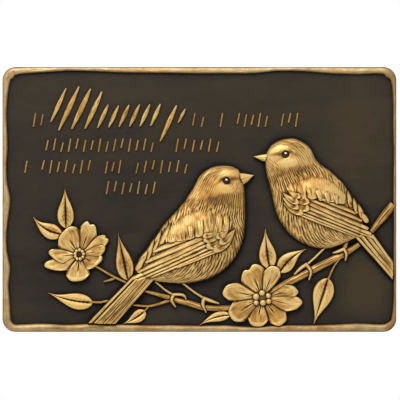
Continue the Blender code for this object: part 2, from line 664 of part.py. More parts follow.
def make_plate():
    """The plate: its back, its sides and the raised rim, ring by ring, closed by two faces."""
    stations = perimeter()
    levels = [(lambda w: BACK_CHAMFER, 0.0), (lambda w: 0.0, -BACK_CHAMFER)]
    for inwards, rise in RIM_PROFILE:
        levels.append((lambda w, inwards=inwards: w * inwards, -GROUND_THICKNESS - RIM_RISE * rise))
    bm = bmesh.new()
    order = bm.verts.layers.int.new("order")
    bmesh.ops.create_circle(bm, segments=len(stations), radius=1.0)
    bm.verts.ensure_lookup_table()
    for number, vert in enumerate(bm.verts):
        vert[order] = number

    def settle(verts, level):
        inwards, y = level
        for vert in verts:
            point, inward, width = stations[vert[order]]
            flat = point + inward * inwards(width)
            vert.co = (flat.x, y, flat.y)

    settle(bm.verts, levels[0])
    edges = list(bm.edges)
    for level in levels[1:]:
        made = bmesh.ops.extrude_edge_only(bm, edges=edges)["geom"]
        edges = [item for item in made if isinstance(item, bmesh.types.BMEdge)]
        settle([item for item in made if isinstance(item, bmesh.types.BMVert)], level)
    bmesh.ops.holes_fill(bm, edges=[edge for edge in bm.edges if edge.is_boundary], sides=0)
    bmesh.ops.recalc_face_normals(bm, faces=bm.faces)
    mesh = bpy.data.meshes.new("plaque")
    bm.to_mesh(mesh)
    bm.free()
    plate = bpy.data.objects.new("plaque", mesh)
    bpy.context.scene.collection.objects.link(plate)
    return plate


def slot_cutter(name, x, z, width, near, far, travel, sides=16):
    """A cutter with round ends, upright, from depth near to depth far."""
    bm = bmesh.new()
    bmesh.ops.create_circle(bm, segments=sides, radius=width / 2, cap_ends=True)
    for vert in bm.verts:
        flat_z = vert.co.y + (travel if vert.co.y > 1e-6 else 0.0)
        vert.co = (x + vert.co.x, -near, z + flat_z)
    made = bmesh.ops.extrude_face_region(bm, geom=list(bm.faces), use_keep_orig=True)["geom"]
    for item in made:
        if isinstance(item, bmesh.types.BMVert):
            item.co.y = -far
    bmesh.ops.recalc_face_normals(bm, faces=bm.faces)
    mesh = bpy.data.meshes.new(name)
    bm.to_mesh(mesh)
    bm.free()
    cutter = bpy.data.objects.new(name, mesh)
    cutter.hide_render = True
    cutter.display_type = "WIRE"
    return cutter


def add_keyholes():
    """Two keyholes: a round hole for the screw's head, and above it a slot for its neck."""
    cutters = bpy.data.collections.new("keyhole_cutters")
    bpy.context.scene.collection.children.link(cutters)
    for side, sign in (("left", -1), ("right", 1)):
        x = sign * KEYHOLE_SPACING / 2
        z = KEYHOLE_RISE
        inside = (KEYHOLE_LIP + KEYHOLE_DEPTH) / 2
        cutters.objects.link(slot_cutter(f"{side}_head_hole", x, z, SCREW_HEAD_HOLE,
                                         -MM, inside, 0.0))
        cutters.objects.link(slot_cutter(f"{side}_neck_slot", x, z, SCREW_NECK_SLOT,
                                         -MM, inside, KEYHOLE_TRAVEL))
        cutters.objects.link(slot_cutter(f"{side}_head_channel", x, z, KEYHOLE_CHANNEL,
                                         KEYHOLE_LIP, KEYHOLE_DEPTH, KEYHOLE_TRAVEL))
    return cutters


def bronze_finish():
    material = bpy.data.materials.new("antique_bronze")
    material.use_nodes = True
    shader = material.node_tree.nodes["Principled BSDF"]
    shader.inputs["Base Color"].default_value = (0.42, 0.27, 0.09, 1.0)
    shader.inputs["Metallic"].default_value = 0.8
    shader.inputs["Roughness"].default_value = 0.42
    return material


def join(plate, name, collection, operation):
    modifier = plate.modifiers.new(name, "BOOLEAN")
    modifier.operation = operation
    modifier.operand_type = "COLLECTION"
    modifier.collection = collection
    modifier.solver = "EXACT"


def main():
    for thing in list(bpy.data.objects):
        bpy.data.objects.remove(thing)
    plate = make_plate()
    plate.data.materials.append(bronze_finish())
    relief = Relief()
    add_branches(relief)
    add_leaves(relief)
    add_blossom(relief, "left", LEFT_BLOSSOM, LEFT_HEART, LEFT_STAMENS)
    add_blossom(relief, "right", RIGHT_BLOSSOM, RIGHT_HEART, RIGHT_STAMENS)
    add_tail(relief, "left", LEFT_TAIL, LEFT_TAIL_CUT)
    add_bird(relief, "left", LEFT_BODY, LEFT_BEAK, LEFT_EYE, LEFT_FLIGHT, LEFT_TERTIALS,
             LEFT_MANTLE, LEFT_COVERTS, 1)
    add_tail(relief, "right", RIGHT_TAIL, RIGHT_TAIL_CUT)
    add_bird(relief, "right", RIGHT_BODY, RIGHT_BEAK, RIGHT_EYE, RIGHT_FLIGHT, RIGHT_TERTIALS,
             RIGHT_MANTLE, RIGHT_COVERTS, -1)
    add_inscription(relief)
    join(plate, "relief", relief.collection, "UNION")
    join(plate, "keyholes", add_keyholes(), "DIFFERENCE")


main()
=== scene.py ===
"""Commemorative wall plaque: two songbirds on a flowering branch, cast in one with its rim.

The relief is laid out on a grid of squares, as (column, row) from the top left. Heights stand
out from the sunken ground towards -Y.
"""
import json
import math

import bmesh
import bpy
import numpy as np
from bpy.props import FloatProperty, FloatVectorProperty, PointerProperty
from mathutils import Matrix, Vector
from mathutils.bvhtree import BVHTree

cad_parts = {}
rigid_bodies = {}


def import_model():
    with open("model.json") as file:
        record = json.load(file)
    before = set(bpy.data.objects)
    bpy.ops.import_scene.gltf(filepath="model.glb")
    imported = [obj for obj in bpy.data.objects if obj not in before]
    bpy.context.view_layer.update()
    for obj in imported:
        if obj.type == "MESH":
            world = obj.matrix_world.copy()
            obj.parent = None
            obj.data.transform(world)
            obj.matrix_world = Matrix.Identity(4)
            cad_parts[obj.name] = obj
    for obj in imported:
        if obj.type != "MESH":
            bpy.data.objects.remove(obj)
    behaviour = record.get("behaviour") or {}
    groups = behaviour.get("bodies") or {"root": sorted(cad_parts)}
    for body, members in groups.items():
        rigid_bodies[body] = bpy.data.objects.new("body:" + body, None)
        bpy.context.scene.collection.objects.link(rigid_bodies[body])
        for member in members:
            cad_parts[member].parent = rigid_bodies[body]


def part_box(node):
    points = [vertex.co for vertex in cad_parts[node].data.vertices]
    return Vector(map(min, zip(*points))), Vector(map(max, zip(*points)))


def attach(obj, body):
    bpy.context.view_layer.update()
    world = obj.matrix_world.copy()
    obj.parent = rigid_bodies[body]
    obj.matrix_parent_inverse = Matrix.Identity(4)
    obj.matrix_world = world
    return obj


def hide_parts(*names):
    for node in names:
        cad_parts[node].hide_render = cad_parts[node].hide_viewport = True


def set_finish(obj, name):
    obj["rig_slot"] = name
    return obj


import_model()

bl_info = {
    "name": "Songbird Plaque",
    "version": (1, 0, 0),
    "blender": (4, 5, 0),
    "location": "View3D > Sidebar > Plaque",
    "description": "Models a cast wall plaque with two songbirds on a flowering branch",
    "category": "Add Mesh",
}

MM = 0.001
CAST_LOW, CAST_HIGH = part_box("plaque")
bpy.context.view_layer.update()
PLAQUE_WIDTH = CAST_HIGH.x - CAST_LOW.x
PLAQUE_HEIGHT = CAST_HIGH.z - CAST_LOW.z

# The plate's own sides lie on these columns and rows of the layout
COLUMNS = (2.3, 396.6)
ROWS = (67.2, 331.8)
SQUARE = PLAQUE_WIDTH / (COLUMNS[1] - COLUMNS[0]) / MM

# Width of the rim, in millimetres, at even steps along each side
RIM_TOP = (5.2, 3.9, 2.8, 3.1, 4.0, 4.3, 4.4, 4.8, 4.7, 4.6, 2.9, 3.2, 4.7, 5.4, 4.3)
RIM_RIGHT = (3.4, 2.5, 2.5, 1.9, 2.2, 2.3, 2.0, 2.1, 2.4, 2.0, 3.2)
RIM_BOTTOM = (5.2, 6.3, 5.4, 5.0, 4.9, 3.7, 4.9, 4.7, 5.1, 5.0, 5.9, 6.3, 5.4, 6.2, 5.4)
RIM_LEFT = (6.0, 5.5, 4.7, 5.7, 3.4, 3.1, 4.6, 5.8, 3.6, 3.0, 3.9, 3.5, 3.2, 4.0, 5.4)

# How much wider the rim is across its corners, in millimetres: top left, top right, bottom
# right, bottom left; and how far along the rim that reaches
CORNER_SWELLS = (2.4, 3.0, 1.6, 0.6)
CORNER_SPREAD = 8.0

# Rise of the rim as a share, over the share of its width from the outside in
RIM_SHARES = (0.0, 0.06, 0.16, 0.3, 0.5, 0.7, 0.86, 0.95, 1.0)
RIM_RISES = (0.1, 0.42, 0.74, 0.92, 1.0, 0.96, 0.78, 0.42, 0.0)
RIM_STEP = 0.9 * MM

# Keyholes in the back: spacing, rise, head hole, neck slot, channel, lip, depth and travel
KEYHOLE_SPACING, KEYHOLE_RISE = 200.0 * MM, 62.0 * MM
SCREW_HEAD_HOLE, SCREW_NECK_SLOT, KEYHOLE_CHANNEL = 9.5 * MM, 4.8 * MM, 10.5 * MM
KEYHOLE_LIP, KEYHOLE_DEPTH, KEYHOLE_TRAVEL = 1.8 * MM, 5.8 * MM, 9.0 * MM

# Leaves: tip, base, width in millimetres, sideways bend as a share of the length
LEAVES = (
    ((64.8, 187.7), (65.9, 228.0), 12.8, 0.0),
    ((33.0, 217.0), (61.8, 234.2), 11.8, 0.11),
    ((117.9, 233.5), (127.8, 280.0), 13.2, 0.0),
    ((48.0, 292.8), (92.5, 302.6), 12.2, 0.05),
    ((123.0, 323.6), (144.9, 310.6), 9.2, 0.06),
    ((199.5, 325.2), (230.0, 315.2), 7.6, -0.08),
    ((265.4, 229.0), (269.8, 268.5), 13.2, 0.02),
    ((306.2, 249.2), (280.0, 272.4), 12.6, 0.09),
    ((314.0, 323.8), (328.0, 278.4), 15.8, 0.0),
)

# How much darker each leaf's paint is, and the distance between its veins in millimetres
LEAF_SHADES = (0.05, 0.0, 0.02, -0.12, -0.04, -0.04, -0.04, -0.04, -0.1)
VEIN_SPACING = 3.1

# Blossoms: centre, petals as outer end, width in millimetres, notch as a share of the length
# and lean of the end towards v = 1, then the heart's width and shade, and the stamens with
# their width in millimetres
BLOSSOMS = {
    "left": ((79.7, 255.0), (
        ((107.4, 237.4), 9.6, 0.05, 0.0), ((104.9, 249.4), 8.6, 0.0, 0.1),
        ((50.2, 269.0), 12.4, 0.0, -0.27), ((52.2, 257.0), 12.0, 0.0, -0.26),
        ((63.6, 231.4), 20.0, 0.0, -0.1), ((91.6, 222.8), 13.6, 0.07, 0.05),
        ((97.6, 264.6), 15.6, 0.0, 0.2), ((77.4, 281.0), 17.6, 0.0, -0.08),
    ), (4.4, 0.9), (
        ((75.2, 253.6), 2.5), ((76.6, 250.9), 2.3), ((79.6, 249.8), 2.5), ((82.4, 251.2), 2.3),
        ((83.6, 253.8), 2.4), ((82.9, 256.8), 2.2), ((80.3, 258.8), 2.5), ((77.2, 258.6), 2.2),
        ((75.4, 256.3), 2.3),
    )),
    "right": ((262.3, 297.8), (
        ((224.0, 289.4), 14.4, 0.0, 0.06), ((230.4, 316.4), 16.4, 0.0, 0.0),
        ((249.0, 266.6), 19.4, 0.08, -0.05), ((256.8, 326.2), 15.2, 0.0, -0.04),
        ((275.2, 266.4), 13.0, 0.0, -0.03), ((283.2, 323.4), 14.2, 0.0, 0.0),
        ((296.4, 288.8), 11.2, 0.0, -0.1), ((299.6, 306.0), 12.8, 0.0, 0.14),
    ), (9.6, 0.5), (
        ((256.1, 296.6), 4.9), ((262.0, 293.0), 4.5), ((268.2, 295.6), 4.0), ((262.9, 302.4), 4.7),
        ((256.1, 302.6), 3.8), ((268.6, 301.2), 4.0),
    )),
}
BLOSSOM_HEART = 1.3

# Stems: share of the branch's rise, then points with their width in millimetres
STEMS = {
    "main": (1.0, (
        ((393.6, 204.6), 6.0), ((385.4, 214.5), 6.2), ((377.0, 225.0), 4.8),
        ((368.0, 236.0), 3.2), ((356.0, 246.6), 4.2), ((341.0, 255.5), 5.6),
        ((326.0, 263.2), 5.8), ((310.0, 271.4), 5.8), ((285.0, 284.4), 5.4),
        ((262.0, 298.0), 4.6), ((240.0, 306.6), 4.3), ((222.0, 308.2), 4.2),
        ((204.0, 307.4), 4.6), ((188.0, 303.0), 4.6), ((172.0, 298.6), 4.2),
        ((156.0, 294.0), 2.8), ((141.0, 289.4), 2.2), ((125.0, 282.2), 2.0),
        ((112.0, 275.8), 2.0), ((90.0, 263.0), 1.8),
    )),
    "lower_twig": (0.8, (
        ((171.0, 299.6), 2.8), ((158.0, 304.2), 2.0), ((147.0, 306.2), 1.8),
        ((131.0, 304.4), 1.8), ((110.0, 301.2), 2.0), ((100.0, 302.4), 2.0),
        ((89.0, 301.8), 1.8),
    )),
    "leaf_stem": (0.7, (((149.5, 305.6), 1.5), ((143.5, 312.0), 1.3))),
    "bud_stub": (0.75, (((116.0, 277.6), 2.2), ((110.0, 280.0), 2.0), ((103.6, 281.6), 1.0))),
    "hanging_stem": (0.7, (((341.0, 257.0), 1.5), ((334.0, 267.0), 1.4), ((328.0, 280.0), 1.7))),
}

# Each bird: the side on which its feathers overlap; how far its mantle's paint is rubbed away;
# its body as back edge, front edge and rise in millimetres from the forehead to the tail's
# root; beak as top and foot of its base and tip; eye as centre and width in millimetres; collar
# between head and breast; mantle as upper and lower edge; feathers and tufts as root, tip and
# width in millimetres from the lowest layer up; the direction in which the rim cuts its tail
BIRDS = {
    "left": dict(
        tilt=1,
        pale=0.02,
        body=(
            ((237.6, 169.4), (240.2, 173.6), 4.5), ((229.0, 165.9), (242.4, 181.0), 7.4),
            ((214.5, 166.6), (244.2, 187.5), 9.4), ((201.0, 174.4), (244.8, 195.5), 10.2),
            ((192.2, 189.8), (245.0, 205.0), 10.4), ((180.4, 206.8), (245.0, 221.0), 11.4),
            ((166.0, 222.4), (242.8, 240.0), 12.2), ((153.4, 239.2), (232.6, 260.6), 12.2),
            ((145.4, 251.0), (212.0, 276.8), 11.0), ((140.4, 262.0), (187.0, 283.0), 9.2),
            ((139.0, 270.5), (163.0, 282.0), 7.4), ((143.5, 276.6), (151.0, 279.4), 5.6),
        ),
        beak=((239.4, 173.6), (241.8, 184.6), (254.2, 175.2)),
        eye=((226.4, 180.7), 4.0),
        collar=((188.0, 199.0), (196.5, 201.0), (211.8, 205.9), (218.5, 204.0),
                (228.0, 205.9), (236.0, 209.5), (246.0, 209.7)),
        flight=(
            ((217.0, 250.6), (176.0, 267.4), 2.6), ((216.0, 248.4), (152.0, 276.6), 2.8),
            ((214.0, 245.2), (137.0, 280.2), 3.2), ((212.0, 241.4), (132.2, 278.6), 3.9),
            ((210.0, 237.8), (137.4, 271.6), 5.2), ((208.0, 234.4), (144.6, 261.8), 5.2),
            ((190.0, 236.0), (152.8, 251.2), 5.0),
        ),
        tertials=(
            ((144.6, 256.0), (136.6, 270.4), 4.4), ((147.6, 250.0), (139.6, 264.4), 4.6),
            ((154.2, 239.0), (146.0, 259.6), 4.6), ((161.2, 230.0), (153.0, 250.4), 4.6),
            ((170.6, 223.0), (160.0, 243.8), 4.4),
        ),
        mantle=(
            ((164.6, 228.6), (166.2, 242.6)), ((173.4, 218.4), (175.4, 241.6)),
            ((183.0, 209.6), (185.0, 240.2)), ((193.6, 203.0), (194.4, 238.0)),
            ((204.0, 202.0), (203.0, 235.6)), ((214.0, 205.0), (211.8, 235.2)),
            ((224.0, 210.0), (220.4, 233.4)), ((233.0, 216.0), (229.6, 231.6)),
        ),
        tufts=(
            ((226.0, 212.0), (226.8, 231.4), 4.6), ((190.0, 217.0), (191.4, 238.0), 4.8),
            ((217.6, 209.0), (220.0, 233.4), 5.4), ((198.8, 211.0), (201.4, 236.0), 5.4),
            ((207.8, 207.0), (212.0, 236.0), 6.4),
        ),
        coverts=(
            ((233.6, 233.0), (213.4, 251.0), 6.8), ((225.0, 236.4), (206.4, 246.4), 8.4),
            ((234.4, 229.6), (219.4, 243.6), 6.0), ((220.0, 234.4), (203.4, 240.0), 5.4),
            ((227.6, 230.6), (216.0, 237.4), 5.0), ((216.0, 231.6), (202.8, 236.4), 4.0),
        ),
        tail=(
            ((133.0, 278.0), (90.2, 322.6), 3.0), ((137.0, 279.0), (95.6, 322.8), 2.8),
            ((153.0, 276.4), (111.0, 323.4), 6.0), ((145.6, 276.0), (102.6, 323.4), 7.4),
        ),
        cut=(1.0, 0.0),
    ),
    "right": dict(
        tilt=-1,
        pale=0.15,
        body=(
            ((267.6, 151.6), (266.4, 156.2), 4.5), ((272.6, 144.6), (265.6, 162.2), 7.4),
            ((284.0, 139.2), (266.0, 168.8), 9.4), ((298.2, 139.6), (267.2, 176.4), 10.2),
            ((309.8, 147.6), (269.6, 184.4), 10.4), ((317.6, 161.4), (272.0, 193.8), 11.0),
            ((332.8, 173.4), (275.0, 207.6), 12.0), ((346.0, 187.0), (280.8, 222.2), 12.2),
            ((353.4, 202.0), (292.4, 236.2), 11.4), ((360.6, 214.0), (308.6, 245.4), 10.0),
            ((364.6, 224.0), (327.0, 248.4), 8.4), ((363.0, 232.0), (343.6, 243.2), 6.8),
            ((358.5, 236.6), (353.0, 238.6), 5.6),
        ),
        beak=((269.8, 154.2), (268.8, 161.4), (252.8, 156.6)),
        eye=((285.2, 154.5), 4.7),
        collar=((266.0, 186.0), (271.5, 182.7), (276.2, 176.4), (281.5, 175.4), (286.2, 175.4),
                (295.1, 173.8), (302.4, 170.7), (310.8, 166.5), (320.0, 163.0)),
        flight=(
            ((296.0, 213.0), (352.0, 235.2), 2.4), ((298.0, 211.2), (362.4, 237.0), 2.6),
            ((300.0, 208.2), (373.6, 237.9), 3.0), ((301.0, 204.0), (371.0, 234.2), 3.9),
            ((303.0, 200.4), (368.0, 228.8), 4.4), ((306.0, 197.2), (361.8, 220.6), 4.0),
            ((321.0, 198.6), (356.0, 213.2), 3.8),
        ),
        tertials=(
            ((361.0, 212.0), (367.4, 222.6), 4.2), ((358.2, 204.4), (362.6, 218.2), 4.2),
            ((353.2, 198.0), (357.2, 213.6), 4.0), ((347.6, 191.0), (351.2, 207.2), 4.0),
        ),
        mantle=(
            ((345.6, 189.0), (344.6, 204.6)), ((337.0, 179.0), (335.4, 202.8)),
            ((326.0, 171.0), (325.4, 201.2)), ((314.0, 169.0), (315.8, 199.6)),
            ((303.0, 173.0), (306.2, 199.2)), ((294.0, 178.0), (297.0, 198.2)),
            ((285.0, 184.0), (289.0, 195.4)),
        ),
        tufts=(
            ((333.0, 187.0), (336.6, 204.0), 4.4), ((288.6, 181.0), (293.8, 197.0), 4.4),
            ((323.0, 184.0), (328.4, 202.6), 4.8), ((296.0, 180.0), (301.6, 198.0), 5.2),
            ((313.6, 181.0), (320.4, 200.8), 4.8), ((304.6, 179.0), (311.4, 199.4), 4.8),
        ),
        coverts=(
            ((283.4, 203.0), (302.6, 213.8), 5.0), ((292.0, 201.0), (308.8, 209.4), 6.4),
            ((282.6, 197.6), (298.2, 208.4), 4.8), ((291.0, 196.4), (308.8, 202.4), 5.4),
            ((283.0, 193.2), (298.2, 203.4), 4.4), ((288.0, 190.6), (300.0, 197.6), 4.2),
        ),
        tail=(
            ((371.6, 235.0), (392.8, 264.4), 3.6), ((354.6, 234.6), (392.4, 277.0), 3.4),
            ((366.4, 235.0), (393.0, 268.6), 4.2), ((360.2, 234.6), (392.8, 273.4), 4.6),
        ),
        cut=(0.0, 1.0),
    ),
}

# Reach in squares of the painted highlight, a dot of light paint, on each eye
EYE_HIGHLIGHT_DOT = 1.05

# Legs and toes: points with their width in millimetres
LEGS = (
    (((155.6, 281.6), 1.8), ((165.0, 289.8), 1.6), ((174.0, 295.4), 1.8)),
    (((182.0, 282.4), 1.8), ((193.0, 291.2), 1.6), ((204.4, 298.6), 1.8)),
    (((326.0, 246.6), 1.8), ((315.6, 257.0), 1.6), ((306.4, 265.2), 1.8)),
    (((347.4, 240.0), 2.8), ((345.4, 246.0), 3.2), ((344.6, 251.4), 4.4)),
)
TOES = (
    (((172.6, 294.6), 2.2), ((179.0, 294.4), 2.2), ((184.0, 295.6), 1.9), ((186.2, 299.2), 1.0)),
    (((173.6, 294.6), 2.6), ((171.8, 300.4), 2.6), ((175.6, 307.0), 1.1)),
    (((203.0, 297.8), 2.6), ((211.0, 300.8), 2.5), ((219.0, 303.4), 1.1)),
    (((204.2, 297.6), 2.8), ((203.0, 304.6), 2.7), ((206.2, 312.4), 1.1)),
    (((307.2, 263.8), 2.5), ((300.6, 268.4), 2.5), ((294.4, 274.4), 1.1)),
    (((305.8, 263.8), 2.5), ((310.8, 271.4), 2.6), ((309.2, 280.0), 1.1)),
    (((344.6, 248.6), 3.0), ((338.8, 251.2), 2.5), ((332.8, 253.0), 1.1)),
    (((343.2, 248.4), 3.2), ((346.2, 253.6), 2.6), ((345.6, 260.6), 1.1)),
)

# Rows of strokes as (top, foot) with groups as (left, right)
STROKE_ROWS = (
    ((113.0, 126.8), ((29.5, 46.5), (188.5, 208.0), (215.5, 227.5), (234.0, 271.0), (278.0, 301.5))),
    ((138.6, 151.8), ((42.0, 157.0), (172.0, 223.0))),
    ((160.2, 173.4), ((19.5, 32.0), (38.0, 94.0), (102.0, 124.0), (132.0, 191.0))),
    ((181.2, 194.2), ((102.5, 159.0),)),
)
STROKE_PITCH, STROKE_LEAN, STROKE_WIDTH = 7.6, 2.2, 1.1

# Shares of the height by which strokes in turn are shorter than their row
STROKE_CUTS = (0.0, 0.22, 0.1, 0.3)

# Large strokes: top, foot and width in millimetres
BRUSH_STROKES = (
    ((66.0, 88.4), (50.6, 122.0), 3.0), ((79.0, 86.6), (58.6, 130.4), 3.8),
    ((90.6, 88.8), (71.6, 129.0), 3.8), ((102.0, 91.6), (85.0, 128.6), 3.6),
    ((108.2, 104.6), (97.6, 128.0), 3.0), ((118.6, 105.6), (108.6, 127.4), 3.0),
    ((129.0, 105.0), (119.0, 127.0), 3.0), ((139.6, 104.6), (129.4, 126.6), 3.0),
    ((150.0, 104.4), (140.0, 126.2), 3.0), ((160.4, 104.0), (150.6, 125.8), 3.0),
    ((176.6, 105.6), (160.2, 141.2), 3.4), ((185.6, 108.6), (178.0, 123.0), 2.2),
)

# Lighter and darker clouds of the ground's patina: centre, reach across and down, share
GROUND_TONES = (
    ((356.0, 118.0), 44.0, 60.0, 0.34), ((366.0, 288.0), 24.0, 28.0, 0.7),
    ((230.0, 92.0), 110.0, 22.0, 0.1), ((120.0, 100.0), 90.0, 26.0, 0.06),
    ((40.0, 305.0), 40.0, 30.0, -0.14), ((150.0, 215.0), 50.0, 34.0, -0.08),
    ((250.0, 215.0), 12.0, 40.0, -0.14), ((230.0, 285.0), 60.0, 20.0, -0.16),
)

# Columns and rows that the camera sees, and its distance from the wall in metres
PICTURE_SIDE = 400.0
CAMERA_DISTANCE = 1.6


def length(name, default, description):
    """A size property in metres, from a default in millimetres."""
    return FloatProperty(name=name, description=description, default=default * MM,
                         min=0.0, subtype="DISTANCE", unit="LENGTH")


def colour(name, default, description):
    """A colour property, in linear light."""
    return FloatVectorProperty(name=name, description=description, default=default,
                               size=3, min=0.0, max=1.0, subtype="COLOR")


class PlaqueSizes(bpy.types.PropertyGroup):
    ground_thickness: length("Ground", 8.0, "Thickness of the plate at its sunken ground")
    corner_radius: length("Corner radius", 10.0, "Radius of the plate's corners")
    rim_rise: length("Rim", 2.8, "Rise of the rim over the ground")
    leaf_rise: length("Leaves", 2.6, "Rise of the leaves over the ground")
    petal_rise: length("Petals", 3.4, "Rise of the petals over the ground")
    heart_rise: length("Blossom hearts", 4.9, "Rise of the blossoms' hearts over the ground")
    stamen_rise: length("Stamens", 6.0, "Rise of the stamens over the ground")
    branch_rise: length("Branch", 3.2, "Rise of the branch over the ground")
    leg_rise: length("Legs", 2.8, "Rise of the birds' legs over the ground")
    toe_rise: length("Toes", 5.0, "Rise of the birds' toes over the ground")
    tail_rise: length("Tails", 5.2, "Rise of the tail feathers over the ground")
    wing_rise: length("Wings", 7.2, "Least rise of the wing feathers over the ground")
    beak_rise: length("Beaks", 6.0, "Rise of the beaks over the ground")
    feather_thickness: length("Feathers", 0.8, "Thickness of a wing or tail feather")
    stroke_rise: length("Small strokes", 0.9, "Rise of the small strokes over the ground")
    brush_rise: length("Brush strokes", 1.5, "Rise of the large strokes over the ground")
    plumage_depth: length("Plumage", 0.34, "Depth of the grooves in the breast's plumage")
    detail: length("Detail", 0.42, "Distance between the points of the relief")


class PlaqueColours(bpy.types.PropertyGroup):
    gold_light: colour("Rubbed gold", (0.84, 0.60, 0.235), "Gold on the rubbed edges")
    gold: colour("Gold", (0.51, 0.29, 0.07), "Gold of the relief")
    tan: colour("Tan", (0.6, 0.46, 0.27), "Gold that has dulled on the rim")
    gold_deep: colour("Deep gold", (0.22, 0.115, 0.03), "Brown gold beside the recesses")
    # Darkest colour of the relief: dark wash with painted shade in the recesses
    wash: colour("Wash and Shade", (0.012, 0.008, 0.005), "Dark wash left in the recesses")
    ground: colour("Ground", (0.026, 0.021, 0.015), "Dark patina of the ground")


def sizes():
    return bpy.context.scene.plaque_sizes


def colours():
    return bpy.context.scene.plaque_colours


def noise(x, y, seed=0):
    """Smooth random values from -1 to 1 over a plane of unit cells."""
    x, y = np.broadcast_arrays(np.asarray(x, float), np.asarray(y, float))
    cell_x, cell_y = np.floor(x), np.floor(y)
    part_x, part_y = x - cell_x, y - cell_y
    part_x, part_y = part_x**2 * (3 - 2 * part_x), part_y**2 * (3 - 2 * part_y)

    def corner(step_x, step_y):
        mix = (cell_x + step_x).astype(np.int64) * 374761393
        mix = (mix + (cell_y + step_y).astype(np.int64) * 668265263 + seed * 1442695041) & 0xFFFFFFFF
        mix = ((mix ^ (mix >> 13)) * 1274126177) & 0xFFFFFFFF
        return ((mix ^ (mix >> 16)) & 0xFFFF) / 32767.5 - 1

    low = corner(0, 0) * (1 - part_x) + corner(1, 0) * part_x
    high = corner(0, 1) * (1 - part_x) + corner(1, 1) * part_x
    return low * (1 - part_y) + high * part_y


def smoothstep(low, high, value):
    """A soft step from 0 at low to 1 at high."""
    share = np.clip((value - low) / (high - low), 0, 1)
    return share * share * (3 - 2 * share)


def half_round(v):
    """Height of a half circle over v from -1 to 1."""
    return np.sqrt(np.clip(1 - v * v, 0, 1))


def bump(distance, width):
    """A soft bump, 1 in its middle."""
    return np.exp(-((distance / width) ** 2))


def smooth_line(points, shares):
    """Points of a smooth curve through rows of numbers, at shares of its run of points."""
    points = np.array(points, float)
    padded = np.vstack([2 * points[0] - points[1], points, 2 * points[-1] - points[-2]])
    places = np.clip(np.asarray(shares, float), 0, 1) * (len(points) - 1)
    piece = np.minimum(places.astype(int), len(points) - 2)
    t = (places - piece)[:, None]
    a, b, c, d = (padded[piece + k] for k in range(4))
    return 0.5 * (2 * b + (c - a) * t + (2 * a - 5 * b + 4 * c - d) * t**2
                  + (3 * b - a - 3 * c + d) * t**3)


def line_distance(places, line):
    """Distance in squares from places to a line of points."""
    best = np.full(len(places), 1e9)
    for start, end in zip(np.array(line[:-1], float), np.array(line[1:], float)):
        run = end - start
        share = np.clip((places - start) @ run / (run @ run), 0, 1)
        best = np.minimum(best, np.linalg.norm(places - start - share[:, None] * run, axis=1))
    return best


def aside(directions):
    """Unit vectors square to directions in the layout, towards a form's v = 1 side."""
    directions = np.asarray(directions, float)
    turned = np.stack([directions[..., 1], -directions[..., 0]], -1)
    return turned / np.linalg.norm(turned, axis=-1, keepdims=True)


def upright(places):
    """Layout places as x and z in metres."""
    across = (places[:, 0] - COLUMNS[0]) / (COLUMNS[1] - COLUMNS[0]) - 0.5
    down = (places[:, 1] - ROWS[0]) / (ROWS[1] - ROWS[0]) - 0.5
    return across * PLAQUE_WIDTH, -down * PLAQUE_HEIGHT


def blade(root, tip, width, bend, outline, end_shape=None):
    """place(u, v) of a blade from root to tip; outline(u) is its share of the full width."""
    root, tip = np.array(root, float), np.array(tip, float)
    run = tip - root
    middle = (root + tip) / 2 + aside(run) * bend * 2 * np.linalg.norm(run)
    ahead = run / np.linalg.norm(run)

    def place(u, v):
        t = u[:, None]
        centre = root * (1 - t) ** 2 + middle * 2 * t * (1 - t) + tip * t**2
        slope = (middle - root) * (1 - t) + (tip - middle) * t
        reach = (v * width / SQUARE / 2 * outline(u))[:, None]
        shift = ahead * (end_shape(v) * u**3)[:, None] if end_shape else 0.0
        return centre + aside(slope) * reach + shift

    return place


def stem(points):
    """place(u, v) of a stem along points that carry their widths."""
    rows = [(*place, width) for place, width in points]

    def place(u, v):
        line = smooth_line(rows, u)
        slope = smooth_line(rows, u + 0.01)[:, :2] - smooth_line(rows, u - 0.01)[:, :2]
        return line[:, :2] + aside(slope) * (v * line[:, 2] / SQUARE / 2)[:, None]

    return place


def between(edges):
    """place(u, v) from one edge at v = -1 to the other at v = 1."""
    rows = [(*first, *second) for first, second in edges]

    def place(u, v):
        line = smooth_line(rows, u)
        share = ((v + 1) / 2)[:, None]
        return line[:, :2] * (1 - share) + line[:, 2:] * share

    return place


def run_length(place, v=0.0):
    """Length in millimetres along a form, as a function of u."""
    u = np.linspace(0, 1, 300)
    steps = np.linalg.norm(np.diff(place(u, np.full(300, v)), axis=0), axis=1)
    total = np.concatenate([[0], np.cumsum(steps)]) * SQUARE
    return lambda shares: np.interp(shares, u, total)


def strokes(along, across, reach, spacing, seed):
    """Staggered strokes of plumage, 1 on their middle lines and 0 between them. The reach of a
    stroke and the spacing of a row of them are in millimetres."""
    dark = np.zeros(len(along))
    for layer in (0, 1):
        lane = across / spacing + layer / 2
        lane = lane + 0.18 * noise(along / reach, across / spacing / 4, seed + layer)
        strand = np.round(lane)
        phase = (along / reach + 2.3 * noise(strand * 7.31, strand * 3.17, seed + layer + 5)) % 1.0
        dash = smoothstep(0.0, 0.2, phase) * smoothstep(0.85, 0.55, phase)
        dark = np.maximum(dark, bump(lane - strand, 0.13) * dash)
    return dark


